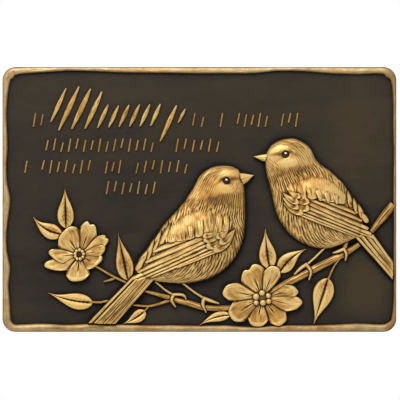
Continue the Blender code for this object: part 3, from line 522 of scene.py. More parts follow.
def sheet(along, across):
    """A grid from -1 to 1 with its border drawn down one unit and closed below."""
    bm = bmesh.new()
    bmesh.ops.create_grid(bm, x_segments=along, y_segments=across, size=1.0)
    for face in bm.faces:
        face.smooth = True
    border = [edge for edge in bm.edges if edge.is_boundary]
    for edge in border:
        edge.smooth = False
    drawn = bmesh.ops.extrude_edge_only(bm, edges=border)["geom"]
    low = [item for item in drawn if isinstance(item, bmesh.types.BMVert)]
    bmesh.ops.translate(bm, verts=low, vec=(0, 0, -1))
    bmesh.ops.holes_fill(bm, edges=[edge for edge in bm.edges if edge.is_boundary], sides=0)
    bmesh.ops.recalc_face_normals(bm, faces=bm.faces)
    mesh = bpy.data.meshes.new("form")
    bm.to_mesh(mesh)
    bm.free()
    return mesh


def positions(mesh):
    """The mesh's points as rows of x, y and z."""
    spots = np.empty(len(mesh.vertices) * 3)
    mesh.vertices.foreach_get("co", spots)
    return spots.reshape(-1, 3)


def set_positions(mesh, spots):
    mesh.vertices.foreach_set("co", spots.ravel())
    mesh.update()


class Piece:
    """Forms that are gathered into one mesh, with what the finish reads at each point: paint,
    some of it painted light and shade, over the wash and painted shade, strength of the hair,
    and flow as millimetres along and across the form."""

    def __init__(self, name):
        self.name = name
        self.bm = bmesh.new()
        self.stored = {"paint": [], "hair": [], "flow": []}

    def add(self, place, rise, along, across, sink=1.5, paint=None, hair=None, drift=None,
            crosswise=False):
        """Adds a form. place(u, v) gives layout places, rise(u, v, places) heights in
        millimetres over the ground, paint(u, v, places) wash or painted shade to add or, below 0,
        to rub, hair(u, v, places) the strength of the fine strokes, and drift(u) how many
        millimetres they have moved sideways. Crosswise strokes run from v = -1 to v = 1."""
        mesh = sheet(along, across)
        spots = positions(mesh)
        u = (spots[:, 0] + 1) / 2
        v = np.sin(spots[:, 1] * math.pi / 2)
        places = place(u, v)
        top = spots[:, 2] > -0.5
        height = np.where(top, rise(u, v, places), -sink) * MM
        x, z = upright(places)
        set_positions(mesh, np.stack([x, -sizes().ground_thickness - height, z], 1))
        self.stored["paint"].append(paint(u, v, places) if paint else np.zeros(len(u)))
        self.stored["hair"].append(hair(u, v, places) if hair else np.ones(len(u)))
        shares, ones = np.linspace(0.1, 0.9, 9), np.ones(9)
        wide = np.linalg.norm(place(shares, ones) - place(shares, -ones), axis=1).mean() * SQUARE
        lane = v * wide / 2 - (drift(u) if drift else 0.0)
        apart = np.full(len(u), 3.7 * len(self.stored["flow"]))
        flow = (lane, run_length(place)(u)) if crosswise else (run_length(place)(u), lane)
        self.stored["flow"].append(np.stack([*flow, apart], 1))
        self.bm.from_mesh(mesh)
        bpy.data.meshes.remove(mesh)

    def finish(self, material):
        bmesh.ops.recalc_face_normals(self.bm, faces=self.bm.faces)
        mesh = bpy.data.meshes.new(self.name)
        self.bm.to_mesh(mesh)
        self.bm.free()
        for name, values in self.stored.items():
            kind, field = ("FLOAT_VECTOR", "vector") if name == "flow" else ("FLOAT", "value")
            values = np.concatenate(values).astype(np.float32).ravel()
            mesh.attributes.new(name, kind, "POINT").data.foreach_set(field, values)
        return new_piece(self.name, mesh, material)


def new_piece(name, mesh, material):
    """A visible piece that rides on the cast plaque and replaces it."""
    piece = bpy.data.objects.new(name, mesh)
    bpy.context.scene.collection.objects.link(piece)
    mesh.materials.clear()
    mesh.materials.append(material)
    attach(piece, "root")
    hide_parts("plaque")
    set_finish(piece, "antique_gold")
    return piece


def body_surface(bird):
    """A plain body's surface: its place and its rise in millimetres, both of u and v."""
    place = between([(back, front) for back, front, _ in bird["body"]])
    rises = [(rise,) for _, _, rise in bird["body"]]

    def rise(u, v):
        return smooth_line(rises, u)[:, 0] * (0.12 + 0.88 * half_round(v))

    return place, rise


def body_reader(bird):
    """A function that reads how high a bird's plain body stands at layout places."""
    place, rise = body_surface(bird)
    bm = bmesh.new()
    bmesh.ops.create_grid(bm, x_segments=60, y_segments=30, size=1.0)
    grid = np.array([vert.co for vert in bm.verts])
    u, v = (grid[:, 0] + 1) / 2, np.sin(grid[:, 1] * math.pi / 2)
    for vert, (column, row), height in zip(bm.verts, place(u, v), rise(u, v)):
        vert.co = (column, row, height)
    tree = BVHTree.FromBMesh(bm)
    bm.free()
    down = Vector((0, 0, -1))

    def read(places):
        heights = np.zeros(len(places))
        for number, (column, row) in enumerate(places):
            hit = tree.ray_cast(Vector((column, row, 100.0)), down)[0]
            heights[number] = hit.z if hit else 0.0
        return heights

    return read


def material(name):
    """A new material with its nodes and links."""
    made = bpy.data.materials.new(name)
    made.use_nodes = True
    return made, made.node_tree.nodes, made.node_tree.links


def noise_node(nodes, links, coordinates, scale, detail, rough=0.55, stretch=None):
    texture = nodes.new("ShaderNodeTexNoise")
    texture.inputs["Scale"].default_value = scale
    texture.inputs["Detail"].default_value = detail
    texture.inputs["Roughness"].default_value = rough
    if stretch:
        mapping = nodes.new("ShaderNodeMapping")
        mapping.inputs["Scale"].default_value = stretch
        links.new(coordinates, mapping.inputs["Vector"])
        coordinates = mapping.outputs["Vector"]
    links.new(coordinates, texture.inputs["Vector"])
    return texture.outputs["Fac"]


def math_node(nodes, links, operation, first, second, clamp=False):
    node = nodes.new("ShaderNodeMath")
    node.operation = operation
    node.use_clamp = clamp
    for socket, value in zip(node.inputs, (first, second)):
        if isinstance(value, (int, float)):
            socket.default_value = value
        else:
            links.new(value, socket)
    return node.outputs[0]


def ramp_node(nodes, links, value, stops):
    """A colour read from stops of position and shade."""
    ramp = nodes.new("ShaderNodeValToRGB")
    elements = ramp.color_ramp.elements
    while len(elements) < len(stops):
        elements.new(0.5)
    for element, (position, shade) in zip(elements, stops):
        element.position = position
        element.color = (*shade, 1.0)
    links.new(value, ramp.inputs["Fac"])
    return ramp.outputs["Color"]


def grey(value):
    return (value, value, value)


def blend_colour(first, second, share):
    return tuple(a * (1 - share) + b * share for a, b in zip(first, second))


def stored_value(nodes, name, output="Fac"):
    node = nodes.new("ShaderNodeAttribute")
    node.attribute_name = name
    return node.outputs[output]


def combed(nodes, links, flow, reach, spacing):
    """Even, broken lines along the flow: 1 in their grooves and 0 between them."""
    def calc(operation, first, second=0.0):
        return math_node(nodes, links, operation, first, second)

    parts = nodes.new("ShaderNodeSeparateXYZ")
    links.new(flow, parts.inputs["Vector"])
    wander = noise_node(nodes, links, flow, 1.0, 1.0, 0.5, (0.5 / reach, 0.22 / spacing, 1.0))
    lane = calc("ADD", calc("MULTIPLY", parts.outputs["Y"], 1 / spacing),
                calc("MULTIPLY", wander, 1.5))
    strand = calc("FLOOR", lane)
    off_middle = calc("ABSOLUTE", calc("SUBTRACT", calc("SUBTRACT", lane, strand), 0.5))
    spot = nodes.new("ShaderNodeCombineXYZ")
    links.new(calc("MULTIPLY", parts.outputs["X"], 1 / reach), spot.inputs["X"])
    links.new(calc("MULTIPLY", strand, 7.3), spot.inputs["Y"])
    links.new(parts.outputs["Z"], spot.inputs["Z"])
    broken = noise_node(nodes, links, spot.outputs["Vector"], 1.0, 1.0)
    groove = ramp_node(nodes, links, off_middle, ((0.04, grey(1.0)), (0.32, grey(0.0))))
    dash = ramp_node(nodes, links, broken, ((0.38, grey(0.0)), (0.54, grey(1.0))))
    return calc("MULTIPLY", groove, dash)


def gold_finish(name, dull=0.0, streak=None, even=False, tan=0.0):
    """Antique gold: rubbed bright on the edges, with dark wash and painted shade left in the
    recesses. A streak is the length, the spacing and the strength of fine strokes along each
    form, which are scattered or even. Tan is the share in which the gold has dulled."""
    made, nodes, links = material(name)
    shader = nodes["Principled BSDF"]
    tints = colours()
    place = nodes.new("ShaderNodeTexCoord").outputs["Object"]
    mottle = noise_node(nodes, links, place, 150.0, 4.0)
    cloud = noise_node(nodes, links, place, 34.0, 3.0)
    speck = noise_node(nodes, links, place, 900.0, 2.0, 0.7)

    def blend(*terms):
        total = None
        for value, weight in terms:
            part = math_node(nodes, links, "MULTIPLY", value, weight)
            total = part if total is None else math_node(nodes, links, "ADD", total, part)
        return total

    # How deep each point lies in dark wash and painted shade, with its paint
    depth = blend((stored_value(nodes, "wash"), 1.0), (mottle, 0.3), (cloud, 0.24))
    depth = math_node(nodes, links, "ADD", depth, dull - 0.27)
    height = blend((speck, 0.3), (mottle, 1.0))
    if streak:
        reach, spacing, strength = streak
        flow = stored_value(nodes, "flow", "Vector")
        if even:
            hair = combed(nodes, links, flow, reach, spacing)
        else:
            hair = noise_node(nodes, links, flow, 1.0, 1.5, 0.6, (1 / reach, 1 / spacing, 1.0))
            hair = ramp_node(nodes, links, hair, ((0.37, grey(1.0)), (0.5, grey(0.0))))
        hair = math_node(nodes, links, "MULTIPLY", hair, stored_value(nodes, "hair"))
        depth = math_node(nodes, links, "ADD", depth,
                          math_node(nodes, links, "MULTIPLY", hair, strength))
        height = math_node(nodes, links, "SUBTRACT", height, hair)
    tone = ramp_node(nodes, links, depth, (
        (0.0, blend_colour(tints.gold_light, tints.tan, tan)),
        (0.2, blend_colour(tints.gold, tuple(0.5 * value for value in tints.tan), tan)),
        (0.42, tints.gold_deep),
        (0.66, blend_colour(tints.gold_deep, tints.wash, 0.75)), (0.9, tints.wash)))
    warmth = nodes.new("ShaderNodeMix")
    warmth.data_type = "RGBA"
    warmth.blend_type = "MULTIPLY"
    links.new(ramp_node(nodes, links, cloud, ((0.5, grey(0.0)), (0.72, grey(1.0)))),
              warmth.inputs["Factor"])
    links.new(tone, warmth.inputs["A"])
    warmth.inputs["B"].default_value = (1.06, 0.89, 0.68, 1.0)
    links.new(warmth.outputs["Result"], shader.inputs["Base Color"])
    links.new(ramp_node(nodes, links, depth, ((0.1, grey(0.38)), (0.7, grey(0.0)))),
              shader.inputs["Metallic"])
    rough = ramp_node(nodes, links, depth, ((0.0, grey(0.52)), (0.4, grey(0.6)), (0.8, grey(0.85))))
    links.new(rough, shader.inputs["Roughness"])
    shader.inputs["Specular IOR Level"].default_value = 0.3
    relief = nodes.new("ShaderNodeBump")
    relief.inputs["Strength"].default_value = 0.35
    relief.inputs["Distance"].default_value = 0.00025
    links.new(height, relief.inputs["Height"])
    links.new(relief.outputs["Normal"], shader.inputs["Normal"])
    return made


def ground_finish():
    """Dark patina with faint brushing, almost black where it meets the relief, from dark wash with
    painted shade.
    """
    made, nodes, links = material("dark_ground")
    shader = nodes["Principled BSDF"]
    tints = colours()
    place = nodes.new("ShaderNodeTexCoord").outputs["Object"]
    cloud = noise_node(nodes, links, place, 14.0, 4.0, 0.6)
    brushed = noise_node(nodes, links, place, 60.0, 4.0, 0.6, (0.35, 1.0, 1.6))
    speck = noise_node(nodes, links, place, 1100.0, 2.0, 0.7)
    light = math_node(nodes, links, "ADD", math_node(nodes, links, "MULTIPLY", cloud, 0.6),
                      math_node(nodes, links, "MULTIPLY", brushed, 0.4))
    # Darker by the dark wash and painted shade around the relief
    light = math_node(nodes, links, "SUBTRACT", light,
                      math_node(nodes, links, "MULTIPLY", stored_value(nodes, "wash"), 0.75))
    dark = tuple(0.22 * value for value in tints.ground)
    warm = tuple(value * lift for value, lift in zip(tints.ground, (2.0, 1.75, 1.3)))
    links.new(ramp_node(nodes, links, light, (
        (0.0, dark), (0.42, tints.ground), (0.78, warm))), shader.inputs["Base Color"])
    links.new(ramp_node(nodes, links, brushed, ((0.3, grey(0.5)), (0.7, grey(0.66)))),
              shader.inputs["Roughness"])
    shader.inputs["Specular IOR Level"].default_value = 0.2
    relief = nodes.new("ShaderNodeBump")
    relief.inputs["Strength"].default_value = 0.3
    relief.inputs["Distance"].default_value = 0.0003
    links.new(math_node(nodes, links, "ADD", speck, brushed), relief.inputs["Height"])
    links.new(relief.outputs["Normal"], shader.inputs["Normal"])
    return made


def glossy_eye_with_painted_highlight():
    """Glossy dark brown with a painted highlight: a dot of light paint."""
    made, nodes, links = material("eye_gloss_painted_highlight")
    shader = nodes["Principled BSDF"]
    place = nodes.new("ShaderNodeTexCoord").outputs["Object"]
    speck = noise_node(nodes, links, place, 500.0, 3.0)
    dark = ramp_node(nodes, links, speck, ((0.3, (0.006, 0.005, 0.005)), (0.8, (0.03, 0.02, 0.014))))
    with_highlight = nodes.new("ShaderNodeMix")
    with_highlight.data_type = "RGBA"
    # The paint attribute marks the painted highlight, which is mixed in as a pale colour
    spot = stored_value(nodes, "paint")
    links.new(ramp_node(nodes, links, spot, ((0.3, grey(0.0)), (0.7, grey(1.0)))),
              with_highlight.inputs["Factor"])
    links.new(dark, with_highlight.inputs["A"])
    with_highlight.inputs["B"].default_value = (0.86, 0.78, 0.72, 1.0)
    links.new(with_highlight.outputs["Result"], shader.inputs["Base Color"])
    shader.inputs["Roughness"].default_value = 0.12
    return made


def corner_swell(corner, away):
    """Extra width of the rim at a distance along it from the middle of a corner, in metres."""
    return CORNER_SWELLS[corner % 4] * MM * np.exp(-((away / MM / CORNER_SPREAD) ** 2))


def perimeter(step):
    """Stations round the plate: x, z, inward x, inward z, rim width and run, in metres."""
    half_x, half_z, radius = PLAQUE_WIDTH / 2, PLAQUE_HEIGHT / 2, sizes().corner_radius
    half_turn = radius * math.pi / 4
    sides = (
        ((radius - half_x, half_z), (half_x - radius, half_z), RIM_TOP),
        ((half_x, half_z - radius), (half_x, radius - half_z), RIM_RIGHT),
        ((half_x - radius, -half_z), (radius - half_x, -half_z), RIM_BOTTOM),
        ((-half_x, radius - half_z), (-half_x, half_z - radius), RIM_LEFT),
    )
    stations = []
    for number, (start, end, widths) in enumerate(sides):
        start, end = np.array(start), np.array(end)
        straight = np.linalg.norm(end - start)
        ahead = (end - start) / straight
        inward = np.array((ahead[1], -ahead[0]))
        count = round(straight / step)
        shares = np.arange(count + 1) / count
        wide = smooth_line([(width,) for width in widths], shares)[:, 0] * MM
        wide = wide + corner_swell(number, shares * straight + half_turn)
        wide = wide + corner_swell(number + 1, (1 - shares) * straight + half_turn)
        for share, width in zip(shares, wide):
            stations.append((*(start + (end - start) * share), *inward, width))
        following = sides[(number + 1) % 4][2][0]
        centre = end + inward * radius
        turns = round(radius * math.pi / 2 / step)
        for turn in range(1, turns):
            share = turn / turns
            out = -inward * math.cos(share * math.pi / 2) + ahead * math.sin(share * math.pi / 2)
            width = (widths[-1] + (following - widths[-1]) * share) * MM
            width += corner_swell(number + 1, (2 * share - 1) * half_turn)
            stations.append((*(centre + out * radius), *-out, width))
    stations = np.array(stations)
    gaps = np.linalg.norm(np.diff(stations[:, :2], axis=0), axis=1)
    return np.hstack([stations, np.concatenate([[0], np.cumsum(gaps)])[:, None]])


def keyhole_cutters():
    """Round-ended cutters for the two keyholes: head hole, neck slot and head channel."""
    inside = (KEYHOLE_LIP + KEYHOLE_DEPTH) / 2
    cuts = ((SCREW_HEAD_HOLE, -MM, inside, 0.0), (SCREW_NECK_SLOT, -MM, inside, KEYHOLE_TRAVEL),
            (KEYHOLE_CHANNEL, KEYHOLE_LIP, KEYHOLE_DEPTH, KEYHOLE_TRAVEL))
    group = bpy.data.collections.new("keyhole_cutters")
    for side in (-1, 1):
        for width, near, far, travel in cuts:
            bm = bmesh.new()
            bmesh.ops.create_circle(bm, segments=32, radius=width / 2, cap_ends=True)
            for vert in bm.verts:
                rise = vert.co.y + (travel if vert.co.y > 1e-6 else 0.0)
                vert.co = (side * KEYHOLE_SPACING / 2 + vert.co.x, -near, KEYHOLE_RISE + rise)
            made = bmesh.ops.extrude_face_region(bm, geom=list(bm.faces), use_keep_orig=True)
            low = [item for item in made["geom"] if isinstance(item, bmesh.types.BMVert)]
            bmesh.ops.translate(bm, verts=low, vec=(0, near - far, 0))
            bmesh.ops.recalc_face_normals(bm, faces=bm.faces)
            mesh = bpy.data.meshes.new("keyhole_cutter")
            bm.to_mesh(mesh)
            bm.free()
            group.objects.link(bpy.data.objects.new("keyhole_cutter", mesh))
    return group


def cut_away(mesh, group):
    """The mesh with a group of cutters taken out of it; the cutters are removed."""
    stock = bpy.data.objects.new("stock", mesh)
    bpy.context.scene.collection.objects.link(stock)
    bpy.context.scene.collection.children.link(group)
    cut = stock.modifiers.new("keyholes", "BOOLEAN")
    cut.operation = "DIFFERENCE"
    cut.operand_type = "COLLECTION"
    cut.collection = group
    cut.solver = "EXACT"
    graph = bpy.context.evaluated_depsgraph_get()
    made = bpy.data.meshes.new_from_object(stock.evaluated_get(graph))
    for thing in [*group.objects, stock]:
        bpy.data.objects.remove(thing)
    bpy.data.collections.remove(group)
    return made


class PLAQUE_OT_plate(bpy.types.Operator):
    """Model the plate with its back, sides, keyholes and hand-worked rim"""
    bl_idname = "plaque.plate"
    bl_label = "Plate and Rim"

    def execute(self, context):
        chosen = sizes()
        thick = chosen.ground_thickness
        stations = perimeter(RIM_STEP)
        levels = [("back", 1.2 * MM, 0.0), ("side", 0.3 * MM, -0.3 * MM), ("side", 0.0, -1.2 * MM)]
        levels += [("side", 0.0, -thick * share) for share in (0.35, 0.6, 0.8, 0.93)]
        levels += [("rim", share, 0.0) for share in np.linspace(0, 1, 19)]
        levels.append(("foot", 1.12, -thick + 0.6 * MM))
        bm = bmesh.new()
        station = bm.verts.layers.int.new("station")
        ring = bm.verts.layers.int.new("ring")
        bmesh.ops.create_circle(bm, segments=len(stations), radius=1.0)
        for number, vert in enumerate(bm.verts):
            vert[station] = number
        edges = list(bm.edges)
        for level in range(1, len(levels)):
            made = bmesh.ops.extrude_edge_only(bm, edges=edges)["geom"]
            edges = [item for item in made if isinstance(item, bmesh.types.BMEdge)]
            for item in made:
                if isinstance(item, bmesh.types.BMVert):
                    item[ring] = level
        for face in bm.faces:
            face.smooth = True
        bmesh.ops.holes_fill(bm, edges=[edge for edge in bm.edges if edge.is_boundary], sides=0)
        order = np.array([(vert[station], vert[ring]) for vert in bm.verts])
        mesh = bpy.data.meshes.new("plate")
        bm.to_mesh(mesh)
        bm.free()

        kinds = np.array([{"back": 0, "side": 1, "rim": 2, "foot": 3}[kind] for kind, _, _ in levels])
        first = np.array([value for _, value, _ in levels])
        depth = np.array([value for _, _, value in levels])
        at, level = stations[order[:, 0]], order[:, 1]
        kind, run, width = kinds[level], at[:, 5] / MM, at[:, 4]
        on_rim = kind >= 2
        inset = np.where(on_rim, first[level] * width, first[level])
        share = np.where(on_rim, first[level], 0.0)
        tool = (0.10 * noise(run / 13, share * 2.2, 3) + 0.06 * noise(run / 5, share * 5, 4)
                + 0.035 * noise(run / 2.2, share * 14, 5))
        rise = chosen.rim_rise * np.interp(share, RIM_SHARES, RIM_RISES) * (1 + tool)
        y = np.where(kind == 2, -thick - rise, depth[level])
        side_wave = 0.12 * MM * noise(run / 9, y / MM / 3, 6) * (kind == 1) * (y < -2 * MM)
        spots = np.stack([at[:, 0] + at[:, 2] * (inset + side_wave), y,
                          at[:, 1] + at[:, 3] * (inset + side_wave)], 1)
        set_positions(mesh, spots)
        bm = bmesh.new()
        bm.from_mesh(mesh)
        bmesh.ops.recalc_face_normals(bm, faces=bm.faces)
        bm.to_mesh(mesh)
        bm.free()
        mesh = cut_away(mesh, keyhole_cutters())
        for face in mesh.polygons:
            face.use_smooth = face.normal.y < 0.99
        spots = positions(mesh)
        # Painted shade: the rim's foot and sides are darker than its top, most on the right, away
        # from the key light; the back gets plain darker paint
        foot = smoothstep(-0.44, -0.49, spots[:, 2] / PLAQUE_HEIGHT)
        right = smoothstep(0.46, 0.49, spots[:, 0] / PLAQUE_WIDTH)
        left = smoothstep(-0.46, -0.49, spots[:, 0] / PLAQUE_WIDTH)
        paint = np.where(spots[:, 1] > -0.2 * MM, 0.1, 0.09 * foot + 0.2 * right + 0.06 * left)
        stored = mesh.attributes.new("paint", "FLOAT", "POINT")
        stored.data.foreach_set("value", paint.astype(np.float32))
        new_piece("plate", mesh, gold_finish("rim_gold", dull=0.17, tan=0.6))
        return {"FINISHED"}


class PLAQUE_OT_ground(bpy.types.Operator):
    """Model the sunken ground with the faint tooling of its patina"""
    bl_idname = "plaque.ground"
    bl_label = "Ground"

    def execute(self, context):
        piece = Piece("ground")
        edge = 1.2 / SQUARE
        radius = sizes().corner_radius / MM / SQUARE - edge
        middle = np.mean([COLUMNS, ROWS], axis=1)
        half = np.ptp([COLUMNS, ROWS], axis=1) / 2 - edge

        def place(u, v):
            down = np.arcsin(np.clip(v, -1, 1)) * 2 / math.pi * half[1]
            into = np.clip(np.abs(down) - half[1] + radius, 0, radius)
            across = (2 * u - 1) * (half[0] - radius + np.sqrt(radius**2 - into**2))
            return middle + np.stack([across, down], 1)

        def rise(u, v, places):
            column, row = places.T
            return (0.07 * noise(column / 19, row / 11, 21) + 0.04 * noise(column / 6, row / 4, 22)
                    + 0.02 * noise(column / 2.4, row / 1.7, 23) - 0.02)

        def paint(u, v, places):
            light = 0.0
            for centre, across, down, share in GROUND_TONES:
                away = ((places - centre) / (across, down)) ** 2
                light = light + share * np.exp(-away.sum(axis=1))
            return -light

        piece.add(place, rise, 310, 208, sink=3.0, paint=paint)
        piece.finish(ground_finish())
        return {"FINISHED"}


class PLAQUE_OT_branches(bpy.types.Operator):
    """Model the branch and its twigs with grooved bark"""
    bl_idname = "plaque.branches"
    bl_label = "Branches"

    def execute(self, context):
        piece = Piece("branches")
        crest = sizes().branch_rise / MM
        for seed, (share, points) in enumerate(STEMS.values(), 40):
            place = stem(points)
            run = run_length(place)
            wide = float(np.mean([width for _, width in points]))

            def rise(u, v, places, share=share, run=run, seed=seed, wide=wide):
                along, across = run(u), v * wide / 2
                bark = 0.16 * noise(along / 7, across / 0.7, seed) * min(1.0, wide / 3.5)
                knots = 0.3 * smoothstep(0.45, 0.8, noise(along / 16, 0.3, seed + 3))
                return crest * share * (0.22 + 0.78 * half_round(v)) * (1 + 0.3 * knots) + bark

            def paint(u, v, places, run=run, seed=seed, wide=wide):
                wander = 0.2 * noise(run(u) / 16, 0.5, seed + 9)
                split = bump(v - 0.1 + wander, 0.13) + 0.6 * bump(v + 0.5 + wander, 0.1)
                broken = smoothstep(-0.5, 0.1, noise(run(u) / 12, v, seed + 12))
                split = 0.4 * split * broken * min(1.0, wide / 4)
                return split + 0.2 * smoothstep(0.5, 0.95, np.abs(v))

            steps = int(run(1.0) / sizes().detail * MM)
            piece.add(place, rise, steps, max(10, int(wide * 5)), paint=paint)
        piece.finish(gold_finish("branch_gold", dull=0.22, streak=(9.0, 1.1, 0.34), even=True))
        return {"FINISHED"}


class PLAQUE_OT_leaves(bpy.types.Operator):
    """Model the leaves with their midribs, veins and curled edges"""
    bl_idname = "plaque.leaves"
    bl_label = "Leaves"

    def execute(self, context):
        piece = Piece("leaves")
        crest = sizes().leaf_rise / MM

        def outline(u):
            return 0.03 + 0.97 * np.clip(np.sin(math.pi * u**0.58), 0, 1) ** (1.1 + 0.7 * u)

        for number, (tip, base, width, bend) in enumerate(LEAVES):
            place = blade(base, tip, width, bend, outline)
            run = run_length(place)

            def veins(u, v, reach, number=number, run=run, width=width):
                along = (run(u) + np.abs(v) * width * 0.42) / VEIN_SPACING
                return bump((along + number * 0.3) % 1 - 0.5, reach)

            def rise(u, v, places, number=number, run=run, veins=veins):
                side = np.where(v > 0, 1.0, 0.86)
                lobe = np.clip(1 - (2 * np.abs(v) - 1) ** 2, 0, 1)
                vein = 0.08 * veins(u, v, 0.16) * smoothstep(0.08, 0.25, np.abs(v))
                rib = bump(v, 0.09) * smoothstep(0.98, 0.6, u)
                edge = 0.28 * bump(np.abs(v) - 0.93, 0.12)
                height = crest * (0.6 + 0.4 * lobe * side) * (0.82 + 0.18 * np.sin(math.pi * u))
                height = height - 0.55 * rib - vein * (1 - np.abs(v))
                return height + edge + 0.06 * noise(run(u) / 2, v * 4, number)

            def paint(u, v, places, number=number, veins=veins):
                rib = bump(v + 0.04 * noise(u * 6, 0.0, number), 0.08) * smoothstep(0.85, 0.5, u)
                short = smoothstep(0.45, 0.1, np.abs(v)) * smoothstep(0.7, 0.4, u)
                cloud = 0.18 * noise(u * 2.4, v * 1.3, number + 30)
                blush = LEAF_SHADES[number] + 0.1 * bump(v, 0.45) + cloud
                edge = 0.35 * smoothstep(0.86, 1.0, np.abs(v)) - 0.12 * bump(np.abs(v) - 0.78, 0.1)
                return 0.7 * rib + 0.3 * veins(u, v, 0.1) * short + edge + blush

            piece.add(place, rise, int(run(1.0) / sizes().detail * MM), 36, paint=paint)
        piece.finish(gold_finish("leaf_gold", dull=0.06, streak=(7.0, 0.9, 0.16)))
        return {"FINISHED"}


class PLAQUE_OT_blossoms(bpy.types.Operator):
    """Model the blossoms with cupped petals, hearts and stamens"""
    bl_idname = "plaque.blossoms"
    bl_label = "Blossoms"

    def execute(self, context):
        chosen = sizes()
        crest = chosen.petal_rise / MM
        for side, (centre, petals, (across, shade), stamens) in BLOSSOMS.items():
            piece = Piece(f"{side}_petals")
            middle = np.array(centre)
            for number, (end, width, notch, lean) in enumerate(petals, 1):
                run = np.array(end) - middle
                reach = np.linalg.norm(run)
                root = middle + run / reach * BLOSSOM_HEART / SQUARE

                def outline(u):
                    return 0.14 + 0.86 * np.sin(math.pi / 2 * np.clip(u / 0.8, 0, 1)) ** 1.4

                def end_shape(v, reach=reach, notch=notch, lean=lean):
                    return reach * (lean * v - 0.24 * np.abs(v) ** 3.2 - notch * bump(v - 0.1, 0.26))

                def rise(u, v, places, number=number):
                    layer = 0.35 * (number % 3)
                    cup = 0.56 + 0.44 * half_round(v * 0.94)
                    lip = 0.22 * bump(np.abs(v) - 0.84, 0.16) * smoothstep(0.3, 0.7, u)
                    lip = lip + 0.3 * bump(u - 0.94, 0.09) - 0.5 * smoothstep(0.96, 1.0, u)
                    groove = bump(v + 0.03, 0.1) * smoothstep(0.7, 0.3, u)
                    groove = groove + 0.6 * bump(np.abs(v) - 0.34, 0.08) * smoothstep(0.45, 0.2, u)
                    wave = 0.2 * noise(u * 4, v * 2, number + 60)
                    return layer + crest * cup * (0.8 + 0.2 * u) + lip - 0.55 * groove + wave

                def paint(u, v, places, number=number):
                    lines = bump(v + 0.03, 0.075) * smoothstep(0.62 + 0.06 * (number % 3), 0.34, u)
                    lines = lines + 0.6 * bump(np.abs(v) - 0.34, 0.06) * smoothstep(0.4, 0.22, u)
                    edge = smoothstep(0.78, 0.98, np.abs(v)) * smoothstep(1.0, 0.75, u)
                    blush = 0.14 * noise(u * 2.2, v * 1.6, number + 30) * smoothstep(0.2, 0.5, u)
                    return 0.65 * lines + 0.6 * edge + 0.2 * smoothstep(0.25, 0.05, u) + blush

                place = blade(root, end, width, 0.0, outline, end_shape)
                piece.add(place, rise, 50, 56, paint=paint)
            piece.finish(gold_finish(f"{side}_petal_gold", dull=0.04, streak=(8.0, 1.1, 0.14)))

            piece = Piece(f"{side}_stamens")

            def shaded(u, v, places, shade=shade):
                return np.full(len(u), shade)

            def rubbed(u, v, places):
                return np.full(len(u), -0.14)

            self.add_dome(piece, middle, across, chosen.heart_rise / MM, 0.28, shaded)
            for number, (spot, bead) in enumerate(stamens):
                crown = chosen.stamen_rise / MM - 0.25 * (number % 3)
                self.add_dome(piece, np.array(spot), bead, crown, 0.5, rubbed)
            piece.finish(gold_finish(f"{side}_stamen_gold"))
        return {"FINISHED"}

    @staticmethod
    def add_dome(piece, centre, across, crown, depth, paint, detail=16):
        """A round dome on its own foot, laid out as a square grid drawn to a circle."""
        def place(u, v):
            first, second = 2 * u - 1, np.arcsin(np.clip(v, -1, 1)) * 2 / math.pi
            flat = np.stack([first * np.sqrt(1 - second**2 / 2),
                             second * np.sqrt(1 - first**2 / 2)], 1)
            return centre + flat * across / 2 / SQUARE

        def rise(u, v, places):
            out = np.linalg.norm(places - centre, axis=1) * SQUARE / (across / 2)
            return crown - across * depth * (1 - half_round(out * 0.99))

        piece.add(place, rise, detail, detail, paint=paint)


